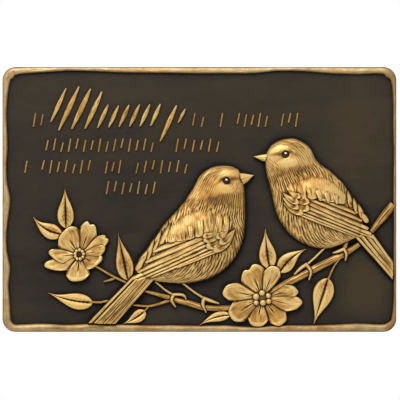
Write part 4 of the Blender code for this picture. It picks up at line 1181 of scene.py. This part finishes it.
class PLAQUE_OT_bodies(bpy.types.Operator):
    """Model the birds' heads and bodies with their plumage"""
    bl_idname = "plaque.bodies"
    bl_label = "Bird Bodies"

    def execute(self, context):
        chosen = sizes()
        depth = chosen.plumage_depth / MM
        for seed, (side, bird) in enumerate(BIRDS.items(), 100):
            place, rise_plain = body_surface(bird)
            run = run_length(place)
            eye = np.array(bird["eye"][0])
            collar = np.array(bird["collar"], float)
            ordered = collar[np.argsort(collar[:, 0])]
            toward = np.array(bird["beak"][2]) - eye
            toward = toward / np.linalg.norm(toward)
            beside_beak = np.array((-toward[1], toward[0]))
            down = np.array((-0.25 * toward[0], 1.0))

            def below_collar(places, ordered=ordered):
                edge = np.interp(places[:, 0], ordered[:, 0], ordered[:, 1])
                ragged = 3.0 * noise(places[:, 0] / 1.6, places[:, 1] / 6, 77)
                return smoothstep(-2.0, 3.0, places[:, 1] - edge + ragged)

            def drift(u, run=run):
                return 0.42 * np.maximum(0.0, run(u) - 0.34 * run(1.0))

            def plumage(u, v, places, run=run, seed=seed, below_collar=below_collar, collar=collar,
                        drift=drift):
                along, across = run(u), v * 30.0 - drift(u)
                low = below_collar(places)
                body = strokes(along, across, 15.0, 4.4, seed)
                head = strokes(along, across, 6.0, 2.0, seed + 20)
                fringe = bump(line_distance(places, collar), 5.0)
                return 0.8 * body * low + 0.5 * head * fringe

            def face(places, eye=eye, down=down):
                patch = bump(np.linalg.norm((places - eye - down * 8.4) * (0.5, 1.0), axis=1), 4.6)
                brow = bump(np.linalg.norm((places - eye + down * 7.0) * (0.36, 1.0), axis=1), 2.8)
                return patch, brow

            def rise(u, v, places, rise_plain=rise_plain, eye=eye, collar=collar, toward=toward,
                     plumage=plumage, face=face, beside_beak=beside_beak):
                groove = 0.1 * bump(line_distance(places, collar), 3.0)
                away = np.linalg.norm(places - eye, axis=1)
                socket = 0.7 * bump(away, 4.6) - 0.14 * bump(away - 4.8, 1.2)
                front, beside = (places - eye) @ toward, np.abs((places - eye) @ beside_beak)
                lore = 0.35 * bump(beside, 2.2) * smoothstep(1.0, 6.0, front)
                patch, brow = face(places)
                soft = smoothstep(0.0, 0.1, 1 - np.abs(v))
                fluff = 0.12 * noise(places[:, 0] / 5, places[:, 1] / 5, 31)
                return (rise_plain(u, v) - depth * plumage(u, v, places) * soft - groove - socket
                        - lore + 0.4 * patch + 0.25 * brow + fluff)

            def paint(u, v, places, eye=eye, toward=toward, plumage=plumage, face=face,
                      beside_beak=beside_beak, below_collar=below_collar, run=run, seed=seed):
                away = np.linalg.norm(places - eye, axis=1)
                front = (places - eye) @ toward
                above = (places - eye) @ beside_beak * np.sign(-beside_beak[1])
                ring = 0.85 * bump(away - 2.5, 0.9)
                corner = 0.6 * bump(above - 1.8, 1.5) * bump(front + 4.0, 2.2)
                corner = np.maximum(corner, 0.4 * bump(above + 3.0, 1.2) * bump(front - 2.0, 2.6))
                stripe = 0.3 * bump(above - 1.2 + 0.02 * front**2, 1.3)
                stripe = stripe * smoothstep(-4.0, -7.0, front) * smoothstep(0.4, 0.2, u)
                lore = 0.34 * bump(above - 0.6, 2.8) * smoothstep(2.0, 5.0, front) * bump(front, 15.0)
                low = below_collar(places)
                chin = 0.1 * smoothstep(-10.5, -14.5, above) * (1 - low)
                lines = 0.34 * strokes(run(u), v * 30.0, 10.0, 4.6, seed + 40) * (1 - low)
                lines = lines * smoothstep(2.0, 7.0, above)
                ear = 0.16 * bump(np.hypot((front + 13.0) * 0.6, above + 16.0), 6.0)
                patch, brow = face(places)
                crown = smoothstep(0.03, 0.08, u) * smoothstep(0.36, 0.22, u)
                crown = 0.24 * bump(v + 0.7, 0.24) * crown
                # Painted shade along both edges of the body, where its sides fall away from the light
                edge = 0.34 * smoothstep(0.86, 1.0, np.abs(v)) * smoothstep(0.02, 0.1, u)
                return (ring + corner + lore + stripe + crown + ear + edge + chin + lines
                        + 0.3 * plumage(u, v, places) - 0.34 * patch - 0.26 * brow)

            def hair(u, v, places, below_collar=below_collar, face=face):
                patch, brow = face(places)
                low = below_collar(places)
                above = (0.62 + 0.3 * smoothstep(0.15, 0.5, v)) * (1 - low)
                return np.clip(low + above - 0.5 * patch - 0.4 * brow, 0, 1)

            piece = Piece(f"{side}_body")
            span = max(np.linalg.norm(np.subtract(back, front)) for back, front, _ in bird["body"])
            piece.add(place, rise, int(run(1.0) / chosen.detail * MM * 1.15),
                      int(span * SQUARE / chosen.detail * MM * 1.25), paint=paint, hair=hair,
                      drift=drift)
            piece.finish(gold_finish(f"{side}_plumage_gold", streak=(6.0, 1.55, 0.5), even=True))
        return {"FINISHED"}


class PLAQUE_OT_wings(bpy.types.Operator):
    """Model the mantles, coverts and flight feathers of both wings"""
    bl_idname = "plaque.wings"
    bl_label = "Wings"

    def execute(self, context):
        for seed, (side, bird) in enumerate(BIRDS.items(), 200):
            read = body_reader(bird)
            self.add_mantle(side, bird, read, seed)
            piece = Piece(f"{side}_wing")
            for group in ("flight", "tertials", "coverts", "tufts"):
                for number, feather in enumerate(bird[group]):
                    lift = {"coverts": 0.7 + 0.3 * number, "tufts": 0.3}.get(group, 0.0)
                    self.add_feather(piece, read, feather, bird["tilt"], group, seed + number, lift)
            piece.finish(gold_finish(f"{side}_wing_gold", dull=0.08, streak=(9.0, 0.8, 0.3)))
        return {"FINISHED"}

    @staticmethod
    def add_mantle(side, bird, read, seed):
        chosen = sizes()
        edges = bird["mantle"]
        plain = between(edges)
        scallops = len(edges) - 1
        run = run_length(plain)

        def lobes(u):
            wander = 0.22 * noise(u * scallops * 0.8, 0.5, seed)
            return np.abs(np.sin(math.pi * (scallops * u + wander)))

        def place(u, v):
            upper, lower = plain(u, np.full(len(u), -1.0)), plain(u, np.ones(len(u)))
            slope = lower - upper
            share = (v + 1) / 2
            notch = (0.9 + 1.7 * smoothstep(0.35, 0.6, u)) / SQUARE
            notch = notch * (1 - lobes(u) ** 0.7) * share**2
            ahead = slope / np.linalg.norm(slope, axis=1, keepdims=True)
            return upper + slope * share[:, None] - ahead * notch[:, None]

        def clefts(u, v, places):
            """Dark between the tufts of the lower edge, and fine strokes towards the upper."""
            front = smoothstep(0.35, 0.6, u)
            start = 0.66 - 0.95 * front + 0.3 * noise(u * scallops * 0.9, 0.0, seed + 8)
            between_tufts = bump(lobes(u + 0.012 * (1 - v)), 0.22) * smoothstep(start, 1.0, v)
            between_tufts = between_tufts * (0.5 + 0.5 * front)
            fine = strokes((v + 1) * 13.0, run(u), 8.0, 3.4, seed)
            return between_tufts, fine * (0.08 + 0.3 * smoothstep(0.2, 0.9, v))

        def rise(u, v, places):
            under = np.maximum(read(places), chosen.wing_rise / MM * 0.8)
            deep, fine = clefts(u, v, places)
            front = smoothstep(0.35, 0.6, u)
            swell = (0.3 + 0.6 * front) * lobes(u) ** 0.6 * smoothstep(0.1 - 0.4 * front, 0.9, v)
            mottled = 0.07 * noise(places[:, 0] / 5.2, places[:, 1] / 4.2, seed + 3)
            grown = -0.7 + 1.9 * smoothstep(-1.0, 0.4, v) - 0.5 * smoothstep(0.12, 0.0, u)
            return under + grown + swell + mottled - 0.5 * deep - chosen.plumage_depth / MM * fine

        def paint(u, v, places):
            deep, fine = clefts(u, v, places)
            mottled = 0.09 * noise(places[:, 0] / 5.2, places[:, 1] / 4.2, seed + 3)
            return 0.5 * deep + 0.5 * fine - mottled - bird["pale"] * smoothstep(-0.6, 0.1, v)

        def hair(u, v, places):
            return 0.2 + 0.8 * smoothstep(0.0, -0.9, v) + 0.3 * smoothstep(0.0, 0.8, v)

        piece = Piece(f"{side}_mantle")
        piece.add(place, rise, 190, 100, paint=paint, hair=hair, crosswise=True)
        piece.finish(gold_finish(f"{side}_mantle_gold", dull=0.03, streak=(6.0, 1.75, 0.4),
                                 even=True))

    @staticmethod
    def add_feather(piece, read, feather, tilt, group, seed, lift):
        """A feather or tuft over whatever of the body lies under it, which read tells."""
        chosen = sizes()
        root, tip, width = feather
        thick = chosen.feather_thickness / MM
        reach = float(np.linalg.norm(np.subtract(tip, root))) * SQUARE
        round_end = {"flight": 0.5, "coverts": 0.825}.get(group, 0.75)
        bend = 0.07 * tilt if group == "coverts" else 0.0

        def outline(u):
            if group in ("tertials", "coverts"):
                return 0.15 + 0.85 * np.sin(math.pi / 2 * np.minimum(1.0, u / 0.72))
            return 0.72 + 0.28 * np.sin(math.pi * np.minimum(1.0, u * 1.15) ** 0.8)

        def end_shape(v):
            return -round_end * width / SQUARE * (1 - half_round(v * 0.98))

        def rise(u, v, places):
            floor = chosen.wing_rise / MM * (1 - 0.25 * u)
            under = np.maximum(read(places), floor)
            shaft = 0.14 * bump(v + 0.1 * tilt, 0.1) - 0.1 * bump(v + 0.1 * tilt, 0.28)
            barbs = 0.05 * noise((u * reach + np.abs(v) * width) / 0.8, v * width / 2, seed)
            if group == "coverts":
                side = 0.5 + 0.3 * half_round(v) + 0.5 * bump(u - 0.9, 0.12)
                side = side - 0.25 * bump(u - 0.72, 0.1)
                fall = 0.4 * smoothstep(0.96, 1.0, u)
            elif group == "tufts":
                side = -0.7 + 3.1 * smoothstep(0.0, 0.7, u) - 1.1 * (1 - half_round(v))
                fall = 0.5 * smoothstep(0.92, 1.0, u)
            else:
                side = 0.2 + 0.95 * smoothstep(-1.0, 0.5, v * tilt)
                fall = 0.6 * smoothstep(0.72, 1.0, v * tilt) + 0.4 * smoothstep(0.95, 1.0, u)
            step = 1.0 if group in ("flight", "tufts") else 0.2 + 0.8 * smoothstep(0.0, 0.6, u)
            return under + lift + thick * side * step + shaft + barbs - fall

        def paint(u, v, places):
            if group == "tufts":
                # Painted shade down both sides of each tuft
                side = 0.3 * smoothstep(0.74, 0.96, np.abs(v)) * smoothstep(0.1, 0.4, u)
                return side + 0.08 * noise(seed * 1.7, 0.5, 4) - 0.06 * smoothstep(0.2, 0.8, u)
            if group == "coverts":
                inner = 0.14 * bump(u - 0.7, 0.12) + 0.12 * smoothstep(0.4, 0.1, u)
                return inner + 0.16 * smoothstep(0.85, 1.0, np.abs(v)) - 0.24 * bump(u - 0.92, 0.1)
            # Painted shadow along the feather's low side, a darker outer edge, and a painted
            # highlight on the band by its crest
            low = 0.6 * smoothstep(-0.55, -0.9, v * tilt) + 0.25 * smoothstep(0.85, 1.0, v * tilt)
            root_dark = 0.3 * smoothstep(0.3, 0.0, u) if group == "tertials" else 0.0
            return low + root_dark - 0.1 * bump(v * tilt - 0.3, 0.4)

        steps = max(24, int(reach / chosen.detail * MM))
        place = blade(root, tip, width, bend, outline, end_shape)
        piece.add(place, rise, steps, max(18, int(width * 5)), paint=paint)


class PLAQUE_OT_tails(bpy.types.Operator):
    """Model the tail feathers, cut off by the rim"""
    bl_idname = "plaque.tails"
    bl_label = "Tails"

    def execute(self, context):
        chosen = sizes()
        thick = chosen.feather_thickness / MM
        for seed, (side, bird) in enumerate(BIRDS.items(), 300):
            piece = Piece(f"{side}_tail")
            cut = bird["cut"]
            for number, (root, tip, width) in enumerate(bird["tail"]):
                run = np.subtract(tip, root)
                reach = np.linalg.norm(run)
                ahead, out = run / reach, aside(run)
                slant = -(out[0] * cut[1] - out[1] * cut[0])
                slant = slant / (ahead[0] * cut[1] - ahead[1] * cut[0])

                def end_shape(v, slant=slant, width=width):
                    return slant * v * width / SQUARE / 2

                def grooves(v, width=width):
                    if width < 5:
                        return smoothstep(0.5, 0.9, np.abs(v))
                    middle = 0.8 * bump(v - 0.08, 0.08) + 0.3 * bump(np.abs(v - 0.08) - 0.5, 0.09)
                    return np.maximum(smoothstep(0.78, 0.96, np.abs(v)), middle)

                def rise(u, v, places, number=number, reach=reach, width=width, seed=seed,
                         grooves=grooves):
                    base = chosen.tail_rise / MM * (1 - 0.22 * u) + thick * 1.1 * half_round(v)
                    shaft = -0.45 * grooves(v)
                    barbs = 0.06 * np.cos((u * reach * 2 + np.abs(v) * width * 2.4) * 1.5)
                    lines = 0.1 * noise(u * reach / 12, v * width / 0.5, seed + number)
                    return base + shaft + barbs + lines + 0.06 * number

                def paint(u, v, places, grooves=grooves):
                    return 0.75 * grooves(v) + 0.12 * smoothstep(0.3, 1.0, u)

                place = blade(root, tip, width, 0.0, lambda u: 0.78 + 0.22 * u, end_shape)
                piece.add(place, rise, int(reach * SQUARE / chosen.detail * MM), 34, paint=paint)
            piece.finish(gold_finish(f"{side}_tail_gold", dull=0.06, streak=(14.0, 0.9, 0.26)))
        return {"FINISHED"}


class PLAQUE_OT_beaks(bpy.types.Operator):
    """Model the beaks with the faint line of their gape"""
    bl_idname = "plaque.beaks"
    bl_label = "Beaks"

    def execute(self, context):
        crest = sizes().beak_rise / MM
        for side, bird in BIRDS.items():
            piece = Piece(f"{side}_beak")
            top, foot, tip = (np.array(point, float) for point in bird["beak"])

            def place(u, v, top=top, foot=foot, tip=tip):
                start = top + (foot - top) * ((v + 1) / 2)[:, None]
                swell = np.sin(math.pi * u) * (1 - u) * np.where(v > 0, 2.3 * v, 0.9 * v)
                push = (foot - top) / np.linalg.norm(foot - top)
                return start + (tip - start) * (u * 0.985)[:, None] + push * swell[:, None]

            def gape(u, v):
                return bump(v - 0.16, 0.07) * smoothstep(0.95, 0.6, u)

            def rise(u, v, places):
                rounded = 0.5 + 0.5 * half_round(v * 0.97) * (1 - 0.5 * u)
                return crest * (1 - 0.42 * u) * rounded - 0.2 * gape(u, v)

            def paint(u, v, places):
                # Darker lower part: brown of the lower mandible, with painted shade on the underside
                under = 0.22 * smoothstep(0.1, 0.9, v)
                return 0.4 * smoothstep(0.14, 0.0, u) + 0.2 * gape(u, v) + under - 0.1

            piece.add(place, rise, 40, 30, paint=paint)
            piece.finish(gold_finish(f"{side}_beak_gold", streak=(5.0, 0.8, 0.15)))
        return {"FINISHED"}


class PLAQUE_OT_eyes(bpy.types.Operator):
    """Model the eyes as glossy beads with a painted highlight, a dot of light paint"""
    bl_idname = "plaque.eyes"
    bl_label = "Eyes"

    def execute(self, context):
        finish = glossy_eye_with_painted_highlight()
        for side, bird in BIRDS.items():
            centre, width = bird["eye"]
            level = body_reader(bird)(np.array([centre]))[0]
            piece = Piece(f"{side}_eye")
            # Painted highlight: a dot of light paint above each eye's centre, where the key light's
            # reflection would fall
            dot = np.array(centre) + (-0.1 * bird["tilt"], -0.22 * width)

            def light(u, v, places, dot=dot):
                return bump(np.linalg.norm((places - dot) * (0.8, 1.0), axis=1), EYE_HIGHLIGHT_DOT)

            PLAQUE_OT_blossoms.add_dome(piece, np.array(centre), width, level + 0.9, 0.36, light, 44)
            piece.finish(finish)
        return {"FINISHED"}


class PLAQUE_OT_legs(bpy.types.Operator):
    """Model the legs and the toes that grip the branch"""
    bl_idname = "plaque.legs"
    bl_label = "Legs and Toes"

    def execute(self, context):
        chosen = sizes()
        piece = Piece("legs_and_toes")
        limbs = [(leg, chosen.leg_rise / MM) for leg in LEGS]
        limbs += [(toe, chosen.toe_rise / MM) for toe in TOES]
        for points, crest in limbs:
            place = stem(points)
            run = run_length(place)

            def rise(u, v, places, crest=crest, run=run):
                scales = 0.12 * np.cos(run(u) * 4.2) * half_round(v)
                fall = 1 - 0.25 * smoothstep(0.6, 1.0, u)
                return crest * (0.3 + 0.7 * half_round(v)) * fall + scales

            piece.add(place, rise, max(20, int(run(1.0) * 3.2)), 12)
        piece.finish(gold_finish("leg_gold"))
        return {"FINISHED"}


class PLAQUE_OT_strokes(bpy.types.Operator):
    """Model the rows of shallow strokes, none of which is a letter"""
    bl_idname = "plaque.strokes"
    bl_label = "Strokes"

    def execute(self, context):
        chosen = sizes()
        piece = Piece("small_strokes")
        made = 0

        def lens(u):
            return 0.3 + 0.7 * np.sin(math.pi * u)

        for (top, foot), groups in STROKE_ROWS:
            for left, right in groups:
                count = max(1, round((right - left - STROKE_LEAN) / STROKE_PITCH))
                pitch = (right - left - STROKE_LEAN) / count
                for number in range(count):
                    column = left + (number + 0.5) * pitch
                    cut = STROKE_CUTS[made % len(STROKE_CUTS)] * (foot - top)
                    start = (column, foot - cut * (made % 3) / 2)
                    end = (column + STROKE_LEAN, top + cut * (2 - made % 3) / 2)
                    made += 1

                    def rise(u, v, places):
                        return chosen.stroke_rise / MM * (0.75 + 0.25 * half_round(v))

                    place = blade(start, end, STROKE_WIDTH, 0.0, lambda u: np.ones(len(u)))
                    piece.add(place, rise, 14, 4)
        piece.finish(gold_finish("stroke_gold", dull=0.42))

        piece = Piece("brush_strokes")
        for number, (top, foot, width) in enumerate(BRUSH_STROKES):
            def rise(u, v, places, number=number, width=width):
                hairs = 0.12 * noise(u * 4, v * width * 1.6, number + 400)
                return chosen.brush_rise / MM * (0.6 + 0.4 * half_round(v)) + hairs

            piece.add(blade(foot, top, width, 0.0, lens), rise, 60, 12)
        piece.finish(gold_finish("brush_gold", dull=0.22, streak=(7.0, 0.7, 0.25)))
        return {"FINISHED"}


def blurred(field, reach):
    """A field of heights averaged over a reach of cells, three times over for a soft fall."""
    for _ in range(3):
        for axis in (0, 1):
            padded = np.concatenate([
                np.repeat(np.take(field, [0], axis), reach + 1, axis), field,
                np.repeat(np.take(field, [-1], axis), reach, axis)], axis)
            total = np.cumsum(padded, axis)
            size = field.shape[axis]
            upper = np.take(total, np.arange(2 * reach + 1, 2 * reach + 1 + size), axis)
            field = (upper - np.take(total, np.arange(size), axis)) / (2 * reach + 1)
    return field


class PLAQUE_OT_wash_and_shade(bpy.types.Operator):
    """Leave dark wash and painted shade in every recess and rub the crests, from the heights of the
    whole relief
    """
    bl_idname = "plaque.wash"
    bl_label = "Wash and Rub"

    CELL = 0.4 * MM

    def execute(self, context):
        thick = sizes().ground_thickness
        forms = [piece for piece in bpy.data.objects if "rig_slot" in piece]
        field = self.heights(forms)
        fine, middle, wide = blurred(field, 1), blurred(field, 3), blurred(field, 9)
        for piece in forms:
            mesh = piece.data
            spots = positions(mesh)
            own = -spots[:, 1] - thick
            near = self.read(fine, spots) - own
            about = self.read(middle, spots) - own
            far = self.read(wide, spots) - own
            # Dark wash with painted shade: the ground darkens next to the relief and the relief in
            # its recesses, while its crests are rubbed lighter
            if piece.name == "ground":
                wash = 0.6 * np.clip(about / MM, 0, 1) + 0.5 * np.clip(far / (2.6 * MM), 0, 1)
            else:
                wash = near / (0.25 * MM) * 0.3 + about / (0.7 * MM) * 0.3
                wash = 0.12 + np.clip(wash + far / (4.0 * MM) * 0.15, -0.25, 0.95)
            # On the plate's sides: darkest partway back, a painted shade
            if piece.name == "plate":
                side = own < 0.2 * MM
                edge = np.interp(own, (-thick, -0.6 * thick, 0.2 * MM), (0.16, 0.38, 0.24))
                wash = np.where(side, edge, wash)
            paint = np.empty(len(spots), np.float32)
            mesh.attributes["paint"].data.foreach_get("value", paint)
            stored = mesh.attributes.new("wash", "FLOAT", "POINT")
            stored.data.foreach_set("value", np.clip(wash + paint, -0.5, 1.0).astype(np.float32))
        return {"FINISHED"}

    def heights(self, forms):
        """The relief's height over the ground in rows of cells, seen from the front."""
        points, faces, start = [], [], 0
        for piece in forms:
            spots = positions(piece.data)
            piece.data.calc_loop_triangles()
            corners = np.empty(len(piece.data.loop_triangles) * 3, np.int32)
            piece.data.loop_triangles.foreach_get("vertices", corners)
            points.append(spots)
            faces.append(corners.reshape(-1, 3) + start)
            start += len(spots)
        tree = BVHTree.FromPolygons(np.concatenate(points).tolist(),
                                    np.concatenate(faces).tolist())
        columns = int(PLAQUE_WIDTH / self.CELL) + 1
        rows = int(PLAQUE_HEIGHT / self.CELL) + 1
        field = np.zeros((rows, columns))
        thick = sizes().ground_thickness
        inward = Vector((0, 1, 0))
        for row in range(rows):
            z = row * self.CELL - PLAQUE_HEIGHT / 2
            for column in range(columns):
                x = column * self.CELL - PLAQUE_WIDTH / 2
                hit = tree.ray_cast(Vector((x, -0.1, z)), inward)[0]
                field[row, column] = -hit.y - thick if hit else 0.0
        return field

    def read(self, field, spots):
        """Values of a field at places, between its cells."""
        x = np.clip((spots[:, 0] + PLAQUE_WIDTH / 2) / self.CELL, 0, field.shape[1] - 1.001)
        z = np.clip((spots[:, 2] + PLAQUE_HEIGHT / 2) / self.CELL, 0, field.shape[0] - 1.001)
        column, row = x.astype(int), z.astype(int)
        share_x, share_z = x - column, z - row
        low = field[row, column] * (1 - share_x) + field[row, column + 1] * share_x
        high = field[row + 1, column] * (1 - share_x) + field[row + 1, column + 1] * share_x
        return low * (1 - share_z) + high * share_z


class PLAQUE_OT_stage(bpy.types.Operator):
    """Set up the pale floor, the soft lights and the camera"""
    bl_idname = "plaque.stage"
    bl_label = "Stage"

    def execute(self, context):
        scene = context.scene
        self.add_floor(scene)
        self.add_light(scene, "key", (-0.35, -0.95, 1.05), 0.8, 21.0, (1.0, 0.97, 0.92))
        self.add_light(scene, "fill", (0.9, -1.1, 0.1), 1.2, 1.4, (0.97, 0.98, 1.0))
        world = bpy.data.worlds.new("studio")
        world.use_nodes = True
        nodes, links = world.node_tree.nodes, world.node_tree.links
        backdrop = nodes["Background"]
        backdrop.inputs["Color"].default_value = (1.0, 1.0, 1.0, 1.0)
        backdrop.inputs["Strength"].default_value = 1.0
        glow = nodes.new("ShaderNodeBackground")
        glow.inputs["Color"].default_value = (1.0, 0.98, 0.95, 1.0)
        glow.inputs["Strength"].default_value = 0.24
        chooser = nodes.new("ShaderNodeMixShader")
        path = nodes.new("ShaderNodeLightPath")
        links.new(path.outputs["Is Camera Ray"], chooser.inputs["Fac"])
        links.new(glow.outputs["Background"], chooser.inputs[1])
        links.new(backdrop.outputs["Background"], chooser.inputs[2])
        links.new(chooser.outputs["Shader"], nodes["World Output"].inputs["Surface"])
        scene.world = world
        scene.view_settings.view_transform = "Standard"

        lens = bpy.data.cameras.new("camera")
        lens.sensor_width = 36.0
        across = PICTURE_SIDE / (COLUMNS[1] - COLUMNS[0]) * PLAQUE_WIDTH
        front = sizes().ground_thickness + sizes().rim_rise
        lens.lens = lens.sensor_width * (CAMERA_DISTANCE - front) / across
        camera = bpy.data.objects.new("camera", lens)
        x, z = upright(np.full((1, 2), PICTURE_SIDE / 2))
        camera.location = (x[0], -CAMERA_DISTANCE, z[0])
        camera.rotation_euler = (math.pi / 2, 0, 0)
        scene.collection.objects.link(camera)
        scene.camera = camera
        return {"FINISHED"}

    @staticmethod
    def add_light(scene, name, place, size, power, tint):
        lamp = bpy.data.lights.new(name, "AREA")
        lamp.shape = "SQUARE"
        lamp.size = size
        lamp.energy = power
        lamp.color = tint
        light = bpy.data.objects.new(name, lamp)
        light.location = place
        light.rotation_euler = (-Vector(place)).to_track_quat("-Z", "Y").to_euler()
        scene.collection.objects.link(light)

    @staticmethod
    def add_floor(scene):
        bm = bmesh.new()
        bmesh.ops.create_grid(bm, x_segments=8, y_segments=8, size=0.9)
        bmesh.ops.translate(bm, verts=bm.verts, vec=(0, 0.1, -0.32))
        mesh = bpy.data.meshes.new("floor")
        bm.to_mesh(mesh)
        bm.free()
        made, nodes, links = material("pale_floor")
        shader = nodes["Principled BSDF"]
        place = nodes.new("ShaderNodeTexCoord").outputs["Object"]
        speck = noise_node(nodes, links, place, 40.0, 4.0)
        links.new(ramp_node(nodes, links, speck, ((0.3, grey(0.76)), (0.7, grey(0.82)))),
                  shader.inputs["Base Color"])
        shader.inputs["Roughness"].default_value = 0.8
        mesh.materials.append(made)
        floor = bpy.data.objects.new("floor", mesh)
        scene.collection.objects.link(floor)


STEPS = (
    PLAQUE_OT_plate, PLAQUE_OT_ground, PLAQUE_OT_branches, PLAQUE_OT_leaves, PLAQUE_OT_blossoms,
    PLAQUE_OT_bodies, PLAQUE_OT_wings, PLAQUE_OT_tails, PLAQUE_OT_beaks, PLAQUE_OT_eyes,
    PLAQUE_OT_legs, PLAQUE_OT_strokes, PLAQUE_OT_wash_and_shade, PLAQUE_OT_stage,
)


class PLAQUE_PT_panel(bpy.types.Panel):
    bl_idname = "PLAQUE_PT_panel"
    bl_label = "Songbird Plaque"
    bl_space_type = "VIEW_3D"
    bl_region_type = "UI"
    bl_category = "Plaque"

    def draw(self, context):
        layout = self.layout
        for group in (context.scene.plaque_sizes, context.scene.plaque_colours):
            column = layout.column(align=True)
            for name in group.__annotations__:
                column.prop(group, name)
        column = layout.column(align=True)
        for step in STEPS:
            column.operator(step.bl_idname)


CLASSES = (PlaqueSizes, PlaqueColours, *STEPS, PLAQUE_PT_panel)


def register():
    for cls in CLASSES:
        bpy.utils.register_class(cls)
    bpy.types.Scene.plaque_sizes = PointerProperty(type=PlaqueSizes)
    bpy.types.Scene.plaque_colours = PointerProperty(type=PlaqueColours)


def unregister():
    del bpy.types.Scene.plaque_colours
    del bpy.types.Scene.plaque_sizes
    for cls in reversed(CLASSES):
        bpy.utils.unregister_class(cls)


def main():
    register()
    bpy.ops.plaque.plate()
    bpy.ops.plaque.ground()
    bpy.ops.plaque.branches()
    bpy.ops.plaque.leaves()
    bpy.ops.plaque.blossoms()
    bpy.ops.plaque.bodies()
    bpy.ops.plaque.wings()
    bpy.ops.plaque.tails()
    bpy.ops.plaque.beaks()
    bpy.ops.plaque.eyes()
    bpy.ops.plaque.legs()
    bpy.ops.plaque.strokes()
    bpy.ops.plaque.wash()
    bpy.ops.plaque.stage()


if __name__ == "__main__":
    main()
